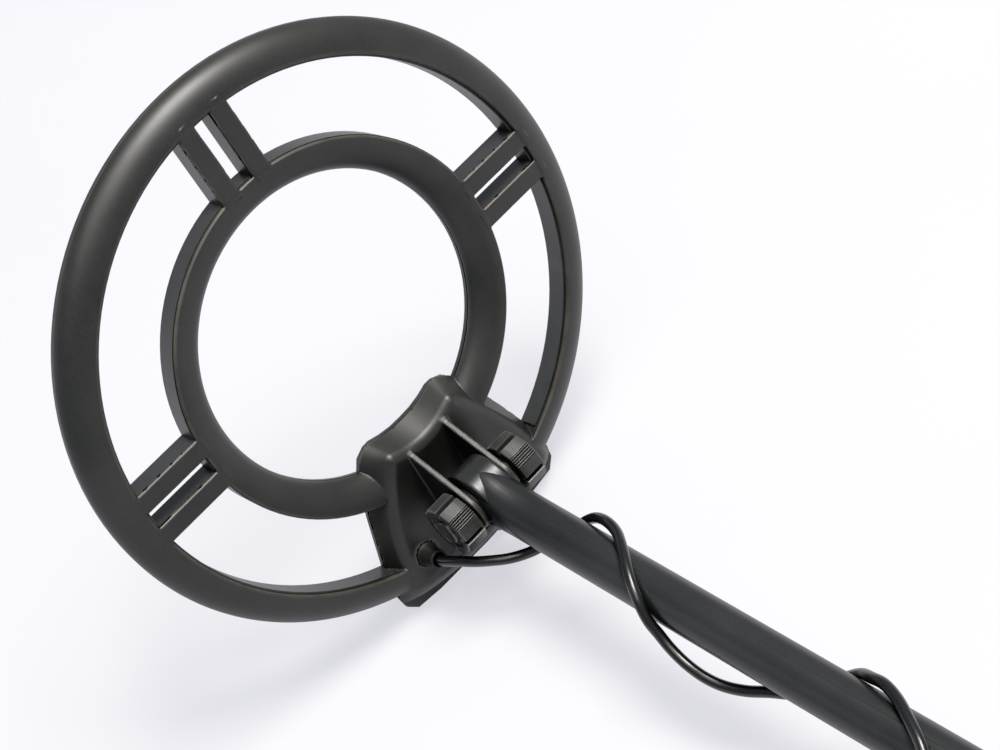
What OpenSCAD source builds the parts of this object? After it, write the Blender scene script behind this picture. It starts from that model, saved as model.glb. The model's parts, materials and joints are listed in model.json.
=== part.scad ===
// Metal detector with an open three-spoke search coil, telescoping shaft, S-bend handle,
// control box and arm cuff.
// Frame: origin at the centre of the coil's sole, +X along the shaft towards the user, +Z up.
// The coil stands nearly upright, and the floor lies under its lowest edge.

/* [Coil] */
// Outer diameter of the search coil
coil_d = 250; // [248:1:254]
// Height of the outer ring
ring_h = 12.2; // [12:0.1:13]
// Angle between the shaft and the coil's normal
lean = 13.5; // [12:0.5:15]
// Thickness of the coil's plastic shells
shell_t = 2; // [1.8:0.1:2.2]

/* [Pivot] */
// Distance of the pivot from the coil's centre
pivot_x = 87.2; // [86:0.1:90]
// Height of the pivot above the sole
pivot_z = 36.1; // [35.5:0.1:38]
// Radius of the pivot bolt
bolt_r = 4; // [3.9:0.1:4]
// Radius of the thumb knobs
knob_r = 12.6; // [12:0.1:14]

/* [Shaft] */
// Radius of the lower rod
rod_r = 10; // [9.8:0.1:10]
// Exposed length of the lower rod from the pivot
rod_out = 298; // [290:1:300]
// Start of the upper tube
upper_x = 560; // [555:1:565]
// Start of the handle's first bend
bend_x = 735; // [733:1:740]
// Radius of both bends
bend_r = 38; // [36:1:40]
// Angle the grip climbs
grip_a = 60; // [58:1:62]
// Length of the straight grip section
grip_l = 100; // [98:1:104]
// Angle the rear section falls
rear_a = 10; // [9:1:11]
// Length of the rear section
rear_l = 255; // [250:1:260]

/* [Control box] */
// Width of the control box
box_w = 118; // [114:1:120]
// Wall thickness of the control box
box_t = 3; // [2.8:0.1:3.2]

/* [Cable] */
// Radius of the coil cable
cable_r = 2.3; // [2:0.1:2.4]
// Advance of the cable per turn round the shaft
cable_pitch = 130; // [125:1:135]

/* [Hidden] */
$fn = 60;
ring_fn = 128;
small_fn = 32;

sides = [-1, 1];
fit = 0.05;   // gap between assembled parts
slip = 0.03;  // closer gap

// Coil: each ring is tall at its window edge and low at its rim
coil_r = coil_d / 2;
outer_edge = 110.8;
outer_curve = 1.85;
inner_edge = 78.75;
inner_rim = 64.4;
inner_h = 11.8;
inner_curve = 1.89;
tray_top = 10;
tray_outer = 109.8;
tray_inner = 79.2;
spoke_turns = [90, 180, 270];
spoke_y = 8.3;      // each spoke is a pair of bars at +/- this offset
spoke_w = 9;
block_end = 131;    // outer end of the pivot block
gland_at = [104, -29.3, 0];
gland_r = 5;

// Shaft
lug_r = 15.5;
rod_wall = 2;
mid_r = 12;
tube_r = 14;
tube_bore = tube_r + 0.04;  // bore of the parts clamped on the upper tube
snap_x = 590;
snap_hole_r = 4.1;
wrap_l = 18;

// Pivot and floor in the coil's frame of origin
pivot_at = [pivot_x * sin(lean) + pivot_z * cos(lean), 0,
    -pivot_x * cos(lean) + pivot_z * sin(lean)];
floor_z = -block_end * cos(lean);

// Points of the shaft's centre line, from the pivot, in the XZ plane
grip_start = [bend_x + bend_r * sin(grip_a), bend_r * (1 - cos(grip_a))];
grip_end = grip_start + grip_l * [cos(grip_a), sin(grip_a)];
rear_centre = grip_end + bend_r * [sin(grip_a), -cos(grip_a)];
rear_start = rear_centre + bend_r * [sin(rear_a), cos(rear_a)];

// Control box: its front wall faces the coil, its sloping panel faces the user
box_front = 606;
panel_foot = [718, 38];
panel_top = [666, 108];
panel_a = atan2(panel_foot[0] - panel_top[0], panel_top[1] - panel_foot[1]);
panel_mid = (panel_foot + panel_top) / 2;
panel_l = norm(panel_top - panel_foot);
panel_t = 2.95;
pot_x = [-36, 0, 36];
pot_y = -20;
button_at = [-45, 18, 0];
switch_at = [45, 18, 0];
speaker_x = 640;
speaker_z = 62;
jack_at = [640, 0, 60];
socket_at = [0, 34, 40];
battery_y = [-27.1, 0.1];  // centres of the two batteries

// Arm cuff, along the rear section
cuff_x = 150;
cuff_end = 235;
cuff_z = 62;
cuff_bolt_x = [170, 215];

// Stand: two legs spread from a cross bar under the rear section
stand_x = 118;
stand_z = -23.5;
stand_at = [rear_start[0] + stand_x * cos(rear_a) + stand_z * sin(rear_a),
    rear_start[1] - stand_x * sin(rear_a) + stand_z * cos(rear_a)];
leg_r = 3;
leg_y = 19;
foot_y = 58;
stand_h = stand_at[1] + pivot_at[2] - floor_z;
leg_drop = stand_h - 6;
leg_l = norm([foot_y - leg_y, leg_drop]);
leg_a = atan2(foot_y - leg_y, leg_drop);

// Frames. Panel frame: x across to +Y, y up the slope, z out towards the user
function in_xz(point) = [point[0], 0, point[1]];
module at_coil() rotate([0, 90 - lean, 0]) children();
module at_pivot() at_coil() translate([pivot_x, 0, pivot_z]) children();
module at_shaft() translate(pivot_at) children();
module at_collar() at_shaft() translate([rod_out, 0, 0]) children();
module at_grip() at_shaft() translate(in_xz(grip_start)) rotate([0, -grip_a, 0]) children();
module at_rear() at_shaft() translate(in_xz(rear_start)) rotate([0, rear_a, 0]) children();
module at_stand() at_shaft() translate(in_xz(stand_at)) children();
module at_panel() at_shaft() translate(in_xz(panel_mid))
    rotate([0, 90 - panel_a, 0]) rotate([0, 0, 90]) children();

// Places inside a frame
module at_saddle_screws() for (x = [650, 690], y = [-15.9, 15.9]) translate([x, y, 0]) children();
module at_panel_screws() for (x = [-53, 53], y = [-37, 36]) translate([x, y, 0]) children();
module at_cuff_bolts() for (x = cuff_bolt_x) translate([x, 0, 0]) children();
module at_leg(side) translate([0, side * leg_y, 0]) rotate([side * leg_a, 0, 0]) children();

// Shared shapes
module along_x(x0, x1, r) translate([x0, 0, 0]) rotate([0, 90, 0]) cylinder(h = x1 - x0, r = r);
module along_y(y0, y1, r) translate([0, y0, 0]) rotate([-90, 0, 0]) cylinder(h = y1 - y0, r = r);
module annulus(outer, inner) difference() {
    circle(r = outer);
    circle(r = inner);
}
function arc(centre, r, a0, a1, steps = 4) =
    [for (i = [0:steps]) centre + r * [cos(a0 + (a1 - a0) * i / steps), sin(a0 + (a1 - a0) * i / steps)]];

// Closed tube mesh along a list of points, with the section kept square to the path
cable_sides = 10;
section_up = [0.31, 0.27, 0.91];  // never parallel to a cable
function unit(v) = v / norm(v);
function dir_at(path, i) = unit(path[min(i + 1, len(path) - 1)] - path[max(i - 1, 0)]);
module cable_run(path) {
    n = cable_sides;
    last = len(path) - 1;
    points = [for (i = [0:last])
        let (dir = dir_at(path, i), side = unit(cross(dir, section_up)), up = cross(dir, side))
        for (k = [0:n - 1]) path[i] + cable_r * (cos(360 * k / n) * side + sin(360 * k / n) * up)];
    walls = [for (i = [0:last - 1], k = [0:n - 1])
        let (a = i * n + k, b = i * n + (k + 1) % n) [a, b, b + n, a + n]];
    start = [for (k = [n - 1:-1:0]) k];
    end = [for (k = [0:n - 1]) last * n + k];
    polyhedron(points = points, faces = concat([start], walls, [end]), convexity = 8);
}

// Half outlines of the pivot block, [x, y] on the sole, mirrored in y
block_foot = [[53.7, 0], [53.5, 6], [52.5, 12], [50.9, 17.5], [51, 21], [53.2, 26], [58, 29.7],
    [77, 37.5], [100, 45], [117, 48], [124, 47.2], [128.6, 43], [130.2, 30], [block_end, 0]];
block_shoulder = [[57, 0], [57, 17], [60, 21.5], [73, 30.6], [92, 38], [104, 41], [117, 42],
    [124, 36], [125.5, 0]];
block_ridge = [[62, 0], [62, 15], [64.5, 17], [68, 0]];
block_top = [[90, 0], [90, 28], [108, 30], [113, 24], [115, 0]];
block_cavity = [[65, 0], [65, 16], [78, 27], [100, 34.5], [112, 36.5], [119, 30], [120, 0]];
cover_keep = [[20, 0], [20, 22], [57, 29.5], [77, 37.5], [100, 45], [117, 48],
    [block_end, 40], [block_end, 0]];
tray_gap = [[20, 0], [20, 22.1], [57, 29.65], [77, 37.65], [100, 45.15], [117, 48.2],
    [134, 40], [134, 0]];
// Slices of the block: [z, thickness, half outline]
block_slices = [[shell_t + fit, 0.6, block_foot], [10.2, 0.5, block_shoulder],
    [14, 0.5, block_ridge], [12.2, 0.5, block_top]];

module block_2d(half)
    polygon(concat(half, [for (i = [len(half) - 2:-1:1]) [half[i][0], -half[i][1]]]));
module spoke_bar(turn, side, width, r0, r1)
    rotate([0, 0, turn]) translate([r0, side * spoke_y - width / 2]) square([r1 - r0, width]);

// Superellipse from the tall edge down to the low rim
function crown(tall_r, low_r, z0, z1, curve) = [for (t = [90:-9:0])
    [tall_r + (low_r - tall_r) * pow(cos(t), 2 / curve), z0 + (z1 - z0) * pow(sin(t), 2 / curve)]];
module crown_ring(tall_r, low_r, z0, z1, curve, foot_z) rotate_extrude($fn = ring_fn)
    polygon(concat(crown(tall_r, low_r, z0, z1, curve), [[tall_r, foot_z]]));

module cover_ear(side) {
    thickness = 2.8;
    ear_r = 10;
    translate([0, side * 10.3 + thickness / 2, 0]) rotate([90, 0, 0])
        linear_extrude(thickness) union() {
            polygon([[60.5, 11], [61.5, 14.6], [pivot_x - 8.35, pivot_z + 5.5],
                [pivot_x, pivot_z], [pivot_x + ear_r, pivot_z], [101, 11]]);
            translate([pivot_x, pivot_z]) circle(r = ear_r);
        }
}

module coil_cover() color([0.13, 0.13, 0.14]) at_coil() {
    base = shell_t + fit;
    wall_top = tray_top + fit;
    difference() {
        union() {
            crown_ring(outer_edge, coil_r, base, ring_h, outer_curve, base);
            crown_ring(inner_edge, inner_rim, base, inner_h, inner_curve, base);
            for (turn = spoke_turns, side = sides)
                translate([0, 0, wall_top]) linear_extrude(inner_h - wall_top)
                    spoke_bar(turn, side, spoke_w, 78, 112);
            hull() for (slice = block_slices)
                translate([0, 0, slice[0]]) linear_extrude(slice[1]) block_2d(slice[2]);
            for (side = sides) cover_ear(side);
            translate(gland_at + [0, 0, 9]) cylinder(h = 4, r = 6.3);
        }
        crown_ring(outer_edge + shell_t, coil_r - shell_t, shell_t, ring_h - shell_t, outer_curve, 1);
        crown_ring(inner_edge - shell_t, inner_rim + shell_t, shell_t, inner_h - shell_t, inner_curve, 1);
        // the tray's walls stand under the crowns on the window side
        difference() {
            translate([0, 0, -1]) cylinder(h = wall_top + 1, r = 113, $fn = ring_fn);
            translate([0, 0, -2]) cylinder(h = wall_top + 3, r = 76.6, $fn = ring_fn);
            translate([0, 0, -3]) linear_extrude(16) block_2d(cover_keep);
        }
        translate([0, 0, 1]) linear_extrude(8.5) block_2d(block_cavity);
        translate([pivot_x, 0, pivot_z]) along_y(-20, 20, bolt_r + fit);
        translate(gland_at + [0, 0, 5]) cylinder(h = 20, r = gland_r + fit);
    }
}

module tray_walls_2d() difference() {
    union() {
        annulus(112, tray_outer, $fn = ring_fn);
        annulus(tray_inner, 77, $fn = ring_fn);
        difference() {
            for (turn = spoke_turns, side = sides) spoke_bar(turn, side, spoke_w, 78, 111);
            for (turn = spoke_turns, side = sides) spoke_bar(turn, side, 5, 70, 120);
        }
    }
    block_2d(tray_gap);
}

module coil_tray() color([0.12, 0.12, 0.13]) at_coil() union() {
    linear_extrude(shell_t) union() {
        annulus(coil_r - 0.3, tray_outer, $fn = ring_fn);
        annulus(tray_inner, 64.6, $fn = ring_fn);
        for (turn = spoke_turns, side = sides) spoke_bar(turn, side, spoke_w, 78, 111);
        block_2d(block_foot);
    }
    translate([0, 0, shell_t / 2]) linear_extrude(tray_top - shell_t / 2) tray_walls_2d();
}

module winding(r0, r1, top) at_coil() rotate_extrude($fn = ring_fn)
    translate([r0, 2.3]) square([r1 - r0, top - 2.3]);
module transmit_winding() color([0.62, 0.33, 0.16]) winding(113.3, 117.8, 7);
module receive_winding() color([0.62, 0.33, 0.16]) winding(72, 76.2, 6.8);
module bucking_winding() color([0.55, 0.28, 0.14]) winding(68.8, 71.5, 4.2);

module junction_board() color([0.1, 0.35, 0.18]) at_coil() {
    translate([84, -12, 3]) cube([22, 24, 1.6]);
    translate([88, -9, 4.6]) cube([10, 6, 3.5]);
    for (y = [0, 5]) translate([90, y, 4.6]) cylinder(h = 3.4, r = 1.9, $fn = small_fn);
}

// Strain relief: a flanged plug in the block's top with a tapered nose
module cable_gland() color([0.1, 0.1, 0.1]) at_coil() translate(gland_at) difference() {
    union() {
        translate([0, 0, 7]) cylinder(h = 6.5, r = gland_r);
        translate([0, 0, 13.2]) cylinder(h = 0.85, r = 5.4);
        translate([0, 0, 14]) cylinder(h = 8.1, r1 = 4.9, r2 = 3.7);
    }
    translate([0, 0, 6]) cylinder(h = 22, r = cable_r + slip);
}

module coil_cable() color([0.06, 0.06, 0.06]) at_coil()
    translate(gland_at + [0, 0, 5.2]) cylinder(h = 22, r = cable_r);

module friction_washers() color([0.2, 0.2, 0.2]) at_pivot() for (side = sides)
    translate([0, side * 8.17, 0]) difference() {
        along_y(-0.7, 0.7, 9.5);
        along_y(-1, 1, bolt_r + fit);
    }

// Bolt with a hexagonal head on the -Y side
module pivot_bolt() color([0.16, 0.16, 0.17]) at_pivot() union() {
    along_y(-19, 22, bolt_r);
    along_y(-21.5, -17, 7.4, $fn = 6);
}

// Thumb knob on +Y: four lobes parted by round notches
module knob_shape() difference() {
    union() {
        along_y(12, 23.4, knob_r);
        along_y(23.3, 24.6, knob_r - 1.6);
    }
    for (a = [11.4:90:281.4])
        rotate([0, a, 0]) translate([knob_r + 0.6, 0, 0]) along_y(11, 26, 2.4);
}
module knob_bolt_side() color([0.1, 0.1, 0.11]) at_pivot() difference() {
    mirror([0, 1, 0]) knob_shape();
    along_y(-18, -10, bolt_r + fit);
    along_y(-21.7, -16.8, 7.5, $fn = 6);
}
insert_r = 5.5;
module knob_nut_side() color([0.1, 0.1, 0.11]) at_pivot() difference() {
    knob_shape();
    along_y(10, 21, insert_r + fit);
    along_y(20, 22.6, bolt_r + fit);
}
module knob_insert() color([0.72, 0.58, 0.3]) at_pivot() difference() {
    along_y(12, 20.9, insert_r);
    along_y(11, 22, bolt_r + fit);
}

module rod_lug() color([0.14, 0.14, 0.15]) at_shaft() difference() {
    union() {
        along_y(-7.4, 7.4, lug_r);
        along_x(11, 52, rod_r - rod_wall - slip);
    }
    along_y(-12, 12, bolt_r + fit);
}

module lower_rod() color([0.16, 0.16, 0.17]) at_shaft() difference() {
    along_x(6, 460, rod_r);
    along_x(0, 470, rod_r - rod_wall);
    along_y(-20, 20, lug_r + 0.6);
}

// Cable wound round the shaft: angle at x, and point at x, angle and radius
function rod_turn(x) = 27 + 360 * (x - 57) / cable_pitch;
function shaft_turn(x) = 20 + 360 * (x - 530) / cable_pitch;
function on_shaft(x, a, r) = [x, r * cos(a), r * sin(a)];
module rod_cable() color([0.06, 0.06, 0.06]) at_shaft()
    cable_run([for (x = [62:5:232]) on_shaft(x, rod_turn(x), rod_r + cable_r + 0.1)]);

// Fluted collar round the end of the middle tube
module lock_collar() color([0.11, 0.11, 0.12]) at_collar() difference() {
    union() {
        along_x(0, 42, 17);
        along_x(6, 36, 18);
    }
    along_x(4, 43, 14.08);
    along_x(-1, 5, rod_r + 0.3);
    for (a = [0:30:330]) rotate([a, 0, 0]) translate([0, 0, 19.4]) along_x(5, 37, 2.2);
}

module lock_bush() color([0.5, 0.5, 0.5]) at_collar() difference() {
    along_x(4.2, 46, 14);
    along_x(8, 47, mid_r + slip);
    along_x(0, 10, rod_r + fit);
}

module middle_tube() color([0.12, 0.12, 0.13]) at_shaft() difference() {
    along_x(rod_out + 8.1, 700, mid_r);
    along_x(rod_out, 710, rod_r + fit);
    translate([snap_x, 0, 0]) along_y(-20, 0, snap_hole_r);
}

// Button through both tubes on the -Y side, with a leaf inside
module snap_button() color([0.75, 0.75, 0.77]) at_shaft() translate([snap_x, 0, 0]) union() {
    along_y(-15.6, -5, 3.9);
    translate([-8, -5.05, -3]) cube([34, 0.8, 6]);
}

// The bent tube is drawn flat: straight, bend up, grip, bend back, rear section
module tube_2d() annulus(tube_r, mid_r + fit);
// drawing thins the wall a little in the bends
module tube_bend(centre, turn, angle) translate(centre) rotate([0, 0, turn])
    rotate_extrude(angle = angle) translate([bend_r, 0]) annulus(13.9, 12.15);
module upper_tube() color([0.13, 0.13, 0.14]) at_shaft() rotate([90, 0, 0]) {
    lap = 0.1;
    grip_centre = [bend_x, bend_r];
    union() {
        difference() {
            translate([upper_x, 0, 0]) rotate([0, 90, 0])
                linear_extrude(bend_x - upper_x + lap) tube_2d();
            translate([snap_x, 0, 0]) cylinder(h = 20, r = snap_hole_r);
        }
        tube_bend(grip_centre, -90, grip_a);
        translate(grip_centre) rotate([0, 0, -90 + grip_a]) translate([bend_r, -lap, 0])
            rotate([-90, 0, 0]) linear_extrude(grip_l + 2 * lap) tube_2d();
        tube_bend(rear_centre, 90 - rear_a, grip_a + rear_a);
        translate(rear_centre) rotate([0, 0, 90 - rear_a]) translate([bend_r, lap, 0])
            rotate([90, 0, 0]) difference() {
                linear_extrude(rear_l + lap) tube_2d();
                for (x = cuff_bolt_x) translate([0, 0, x + lap])
                    rotate([0, 90, 0]) cylinder(h = 40, r = 2.6, center = true);
            }
    }
}

// Sleeve with waves along its length: outline is [radius, distance along the grip]
module hand_grip() color([0.09, 0.09, 0.09]) at_grip()
    rotate([0, 90, 0]) rotate_extrude() polygon(concat(
        [[tube_bore, 2], [17, 2], [19.2, 4], [19.6, 7]],
        [for (x = [10:4:90]) [17.9 + 0.8 * cos(x * 360 / 24) + 0.6 * sin(180 * (x - 10) / 80), x]],
        [[19.6, 93], [19.2, 96], [17, 98], [tube_bore, 98]]));

// Cable round the middle tube, then lifted in a curve to the box's socket
function bezier(a, b, c, d, t) =
    pow(1 - t, 3) * a + 3 * t * pow(1 - t, 2) * b + 3 * t * t * (1 - t) * c + t * t * t * d;
module shaft_cable() color([0.06, 0.06, 0.06]) at_shaft() {
    wind_r = mid_r + cable_r + 0.15;
    lift = on_shaft(530, shaft_turn(530), wind_r);
    cable_run(concat(
        [for (x = [350:6:524]) on_shaft(x, shaft_turn(x), wind_r)],
        [for (t = [0:0.125:1]) bezier(lift, [552, 12, 19],
            socket_at + [554, 0, 0], socket_at + [578, 0, 0], t)],
        [socket_at + [592, 0, 0]]));
}

// Hook-and-loop wraps: a band round the tube with a lobe over the cable
module cable_wraps() color([0.08, 0.08, 0.08]) at_shaft() for (x = [372, 470]) {
    x0 = x - wrap_l / 2;
    x1 = x + wrap_l / 2;
    difference() {
        union() {
            along_x(x0, x1, 13.2);
            translate(on_shaft(0, shaft_turn(x), 14.2)) along_x(x0, x1, 6.4);
        }
        along_x(x0 - 1, x1 + 1, mid_r + 0.04);
        translate(on_shaft(0, shaft_turn(x), 14.45)) along_x(x0 - 1, x1 + 1, 5);
    }
}

module box_saddle() color([0.1, 0.1, 0.1]) at_shaft() difference() {
    union() {
        along_x(640, 700, 18);
        translate([640, -18, 0]) cube([60, 36, 21.95]);
    }
    along_x(630, 710, tube_bore);
    at_saddle_screws() translate([0, 0, 9]) cylinder(h = 20, r = 1.25, $fn = small_fn);
}
module saddle_screws() color([0.6, 0.6, 0.62]) at_shaft() at_saddle_screws() union() {
    translate([0, 0, 10]) cylinder(h = 15.2, r = 1.2, $fn = small_fn);
    translate([0, 0, 25.05]) cylinder(h = 2.2, r = 2.6, $fn = small_fn);
}

// Side outlines of the box, [x, z] from the pivot
box_outer = concat(arc([box_front + 8, 30], 8, 180, 270), arc([708, 30], 8, 270, 340),
    [panel_foot], [panel_top], arc([box_front + 10, 98], 10, 90, 180));
box_inner = concat(arc([box_front + 8, 30], 8 - box_t, 180, 270),
    arc([708, 30], 8 - box_t, 270, 330), [panel_foot - [4, 1]], [panel_top - [3, 3.6]],
    arc([box_front + 10, 98], 10 - box_t, 90, 180));
module box_slab(width, outline) at_shaft()
    translate([0, width / 2, 0]) rotate([90, 0, 0]) linear_extrude(width) polygon(outline);

// Upright slots in the -Y wall, cut to fill a circle over the speaker
module speaker_slots() translate([speaker_x, -box_w / 2, speaker_z]) for (x = [-16:8:16]) {
    half_h = sqrt(20 * 20 - x * x);
    translate([x - 1.5, -2, -half_h]) cube([3, 8, 2 * half_h]);
}

module control_box() color([0.12, 0.12, 0.13]) difference() {
    box_slab(box_w, box_outer);
    box_slab(box_w - 2 * box_t, box_inner);
    at_panel() {
        translate([-100, -100, -3]) cube([200, 200, 60]);
        translate([-50.3, -33.5, -8]) cube([100.6, 72, 6]);
        translate(button_at - [0, 0, 8]) cylinder(h = 6, r = 7.8);
        at_panel_screws() translate([0, 0, -14]) cylinder(h = 12, r = 1.2, $fn = small_fn);
    }
    at_shaft() {
        at_saddle_screws() translate([0, 0, 15]) cylinder(h = 12, r = 1.4, $fn = small_fn);
        translate([600, -42.3, 31.8]) cube([10, 57.6, 52.3]);
        speaker_slots();
        translate(jack_at) along_y(box_w / 2 - 6, box_w / 2 + 14, 5 + fit);
        translate(socket_at) along_x(592, 632, 6 + fit);
    }
}

// Panel plate with a raised frame round the meter
module control_panel() color([0.16, 0.16, 0.17]) at_panel() difference() {
    union() {
        translate([-box_w / 2, -panel_l / 2 + 0.3, -panel_t]) cube([box_w, panel_l - 0.6, panel_t]);
        translate([-34, 0.5, -0.5]) cube([68, 39, 1.9]);
    }
    translate([0, 0, -8]) {
        translate([-29, 4, 0]) cube([58, 32, 20]);
        for (x = pot_x) translate([x, pot_y, 0]) cylinder(h = 20, r = 3.6);
        translate(button_at) cylinder(h = 20, r = 6.1);
        translate(switch_at) cylinder(h = 20, r = 3.1);
        at_panel_screws() cylinder(h = 20, r = 1.7, $fn = small_fn);
    }
}
module panel_screws() color([0.62, 0.62, 0.64]) at_panel() at_panel_screws() difference() {
    union() {
        translate([0, 0, -9]) cylinder(h = 9.2, r = 1.15, $fn = small_fn);
        translate([0, 0, slip]) cylinder(h = 1.6, r = 2.8, $fn = small_fn);
    }
    for (a = [0, 90]) rotate([0, 0, a]) translate([-1.7, -0.35, 0.9]) cube([3.4, 0.7, 2]);
}

module main_board() color([0.1, 0.35, 0.18]) at_panel() union() {
    translate([-50, -34, -17.6]) cube([100, 34, 1.6]);
    translate([-44, -33.5, -16.1]) cube([12, 4, 1.2]);
    translate([-14, -33, -20.4]) cube([22, 9, 2.9]);
    for (x = [18, 26, 40]) translate([x, -12, -26]) cylinder(h = 8.5, r = 3, $fn = small_fn);
}
module potentiometers() color([0.55, 0.55, 0.56]) at_panel() for (x = pot_x)
    translate([x, pot_y, 0]) difference() {
        union() {
            translate([0, 0, -15.9]) cylinder(h = 8, r = 8);
            translate([0, 0, -8]) cylinder(h = 10, r = 3.5);
            translate([0, 0, slip]) cylinder(h = 1.9, r = 5.4, $fn = 6);
        }
        translate([0, 0, -14]) cylinder(h = 30, r = 3 + fit);
    }

// Skirted, fluted knob with a marking groove on top
module panel_knob(x, r = 11) at_panel() translate([x, pot_y, 0]) difference() {
    union() {
        translate([0, 0, -13]) cylinder(h = 18, r = 3);
        translate([0, 0, 2.4]) cylinder(h = 2.4, r = r + 1.6);
        translate([0, 0, 4.7]) linear_extrude(11) difference() {
            circle(r = r);
            for (a = [15:30:345]) rotate([0, 0, a]) translate([r + 0.6, 0]) circle(r = 1.5, $fn = 24);
        }
    }
    translate([-0.6, r * 0.35, 15.2]) cube([1.2, r * 0.5, 2]);
}
module tuning_knob() color([0.08, 0.08, 0.08]) panel_knob(pot_x[0]);
module sensitivity_knob() color([0.08, 0.08, 0.08]) panel_knob(pot_x[1]);
module mode_knob() color([0.08, 0.08, 0.08]) panel_knob(pot_x[2]);

module pinpoint_button() color([0.55, 0.1, 0.08]) at_panel() translate(button_at) union() {
    translate([0, 0, -3.4]) cylinder(h = 7, r = 6);
    translate([0, 0, -5.4]) cylinder(h = 2.1, r = 7.4);
}
module button_switch() color([0.15, 0.15, 0.15]) at_panel() translate(button_at) union() {
    translate([-5, -5, -16]) cube([10, 10, 5]);
    translate([0, 0, -11.1]) cylinder(h = 3, r = 1.8, $fn = small_fn);
}
// Toggle switch: the lever's ball and cross pin sit in the hollow bushing
module power_switch() color([0.7, 0.7, 0.72]) at_panel() translate(switch_at) difference() {
    union() {
        translate([-4.5, -6.5, -14]) cube([9, 13, 9]);
        translate([0, 0, -5.1]) cylinder(h = 8.3, r = 3);
        translate([0, 0, slip]) cylinder(h = 1.8, r = 4.6, $fn = 6);
    }
    translate([0, 0, -7]) cylinder(h = 4.02, r = 2.4);
    translate([0, 0, -3]) cylinder(h = 8, r1 = 2.35, r2 = 2.75);
    translate([0, 0, -3]) rotate([0, 90, 0]) cylinder(h = 10, r = 0.95, center = true);
}
module power_lever() color([0.8, 0.8, 0.82]) at_panel()
    translate(switch_at - [0, 0, 3]) rotate([9, 0, 0]) union() {
        cylinder(h = 13, r1 = 1.1, r2 = 1.6, $fn = small_fn);
        sphere(r = 2, $fn = small_fn);
        rotate([0, 90, 0]) cylinder(h = 5.6, r = 0.8, center = true);
        translate([0, 0, 13]) sphere(r = 1.9, $fn = small_fn);
    }

module meter_case() color([0.2, 0.2, 0.2]) at_panel() translate([0, 20, 0]) difference() {
    translate([-30, -17.5, -13]) cube([60, 35, 9.9]);
    translate([-28, -15.5, -11.5]) cube([56, 31, 12]);
}
module meter_dial() color([0.88, 0.87, 0.8]) at_panel()
    translate([-27.8, 4.7, -8.6]) cube([55.6, 30.6, 0.8]);
module meter_needle() color([0.05, 0.05, 0.05]) at_panel()
    translate([0, 9, -7.2]) rotate([0, 0, 132]) union() {
        cylinder(h = 1.2, r = 2.2, $fn = small_fn);
        translate([0, -0.3, 0.2]) cube([21, 0.6, 0.6]);
        translate([-4, -0.7, 0.2]) cube([4, 1.4, 0.6]);
    }
module meter_window() color([0.8, 0.85, 0.9, 0.35]) at_panel()
    translate([-28.9, 4.1, -2.4]) cube([57.8, 31.8, 2.6]);

// Rim, cone and magnet behind the slots
module speaker() color([0.25, 0.25, 0.27]) at_shaft()
    translate([speaker_x, -box_w / 2 + box_t + 0.2, speaker_z]) union() {
        difference() {
            along_y(0, 2.4, 24);
            along_y(-1, 1.6, 20.5);
        }
        translate([0, 2.3, 0]) rotate([-90, 0, 0]) cylinder(h = 7, r1 = 21, r2 = 12);
        along_y(9.2, 14, 11);
    }
module batteries() color([0.15, 0.15, 0.4]) at_shaft()
    for (y = battery_y) translate([611.5, y - 13, 35.2]) cube([17, 26, 46]);
module battery_contacts() color([0.1, 0.1, 0.1]) at_shaft()
    for (y = battery_y) translate([612, y - 12, 81.6]) union() {
        cube([16, 24, 3]);
        for (stud_y = [6, 18])
            translate([8, stud_y, -0.35]) cylinder(h = 0.4, r = 3.4, $fn = small_fn);
    }
// Door in the front wall, with a tab outside near the top and a rod along its lower edge
module battery_door() color([0.1, 0.1, 0.1]) at_shaft() union() {
    translate([box_front + 0.1, -42, 34.2]) cube([2.6, 57, 49.6]);
    translate([603.6, -23.5, 76]) cube([2.6, 20, 3]);
    translate([607.4, 0, 34.2]) along_y(-42, 15, 1.8);
}

module headphone_jack() color([0.5, 0.5, 0.52]) at_shaft() translate(jack_at) {
    wall_y = box_w / 2;
    difference() {
        union() {
            along_y(wall_y - 18, wall_y - box_t - fit, 8);
            along_y(wall_y - 5, wall_y + 2.4, 5);
            along_y(wall_y + slip, wall_y + slip + 1.9, 7.4, $fn = 6);
        }
        along_y(wall_y - 15, wall_y + 5, 3.2);
    }
}
module cable_socket() color([0.6, 0.6, 0.62]) at_shaft() translate(socket_at) difference() {
    union() {
        along_x(box_front + box_t + 0.15, 618, 8.5);
        along_x(600.6, 610, 6);
    }
    along_x(599, 606, 4.8);
}
module cable_plug() color([0.65, 0.65, 0.67]) at_shaft() translate(socket_at) difference() {
    union() {
        along_x(588, 600.4, 7.6);
        along_x(600.3, 605.6, 4.7);
    }
    along_x(580, 592.1, cable_r + 0.1);
}

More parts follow.
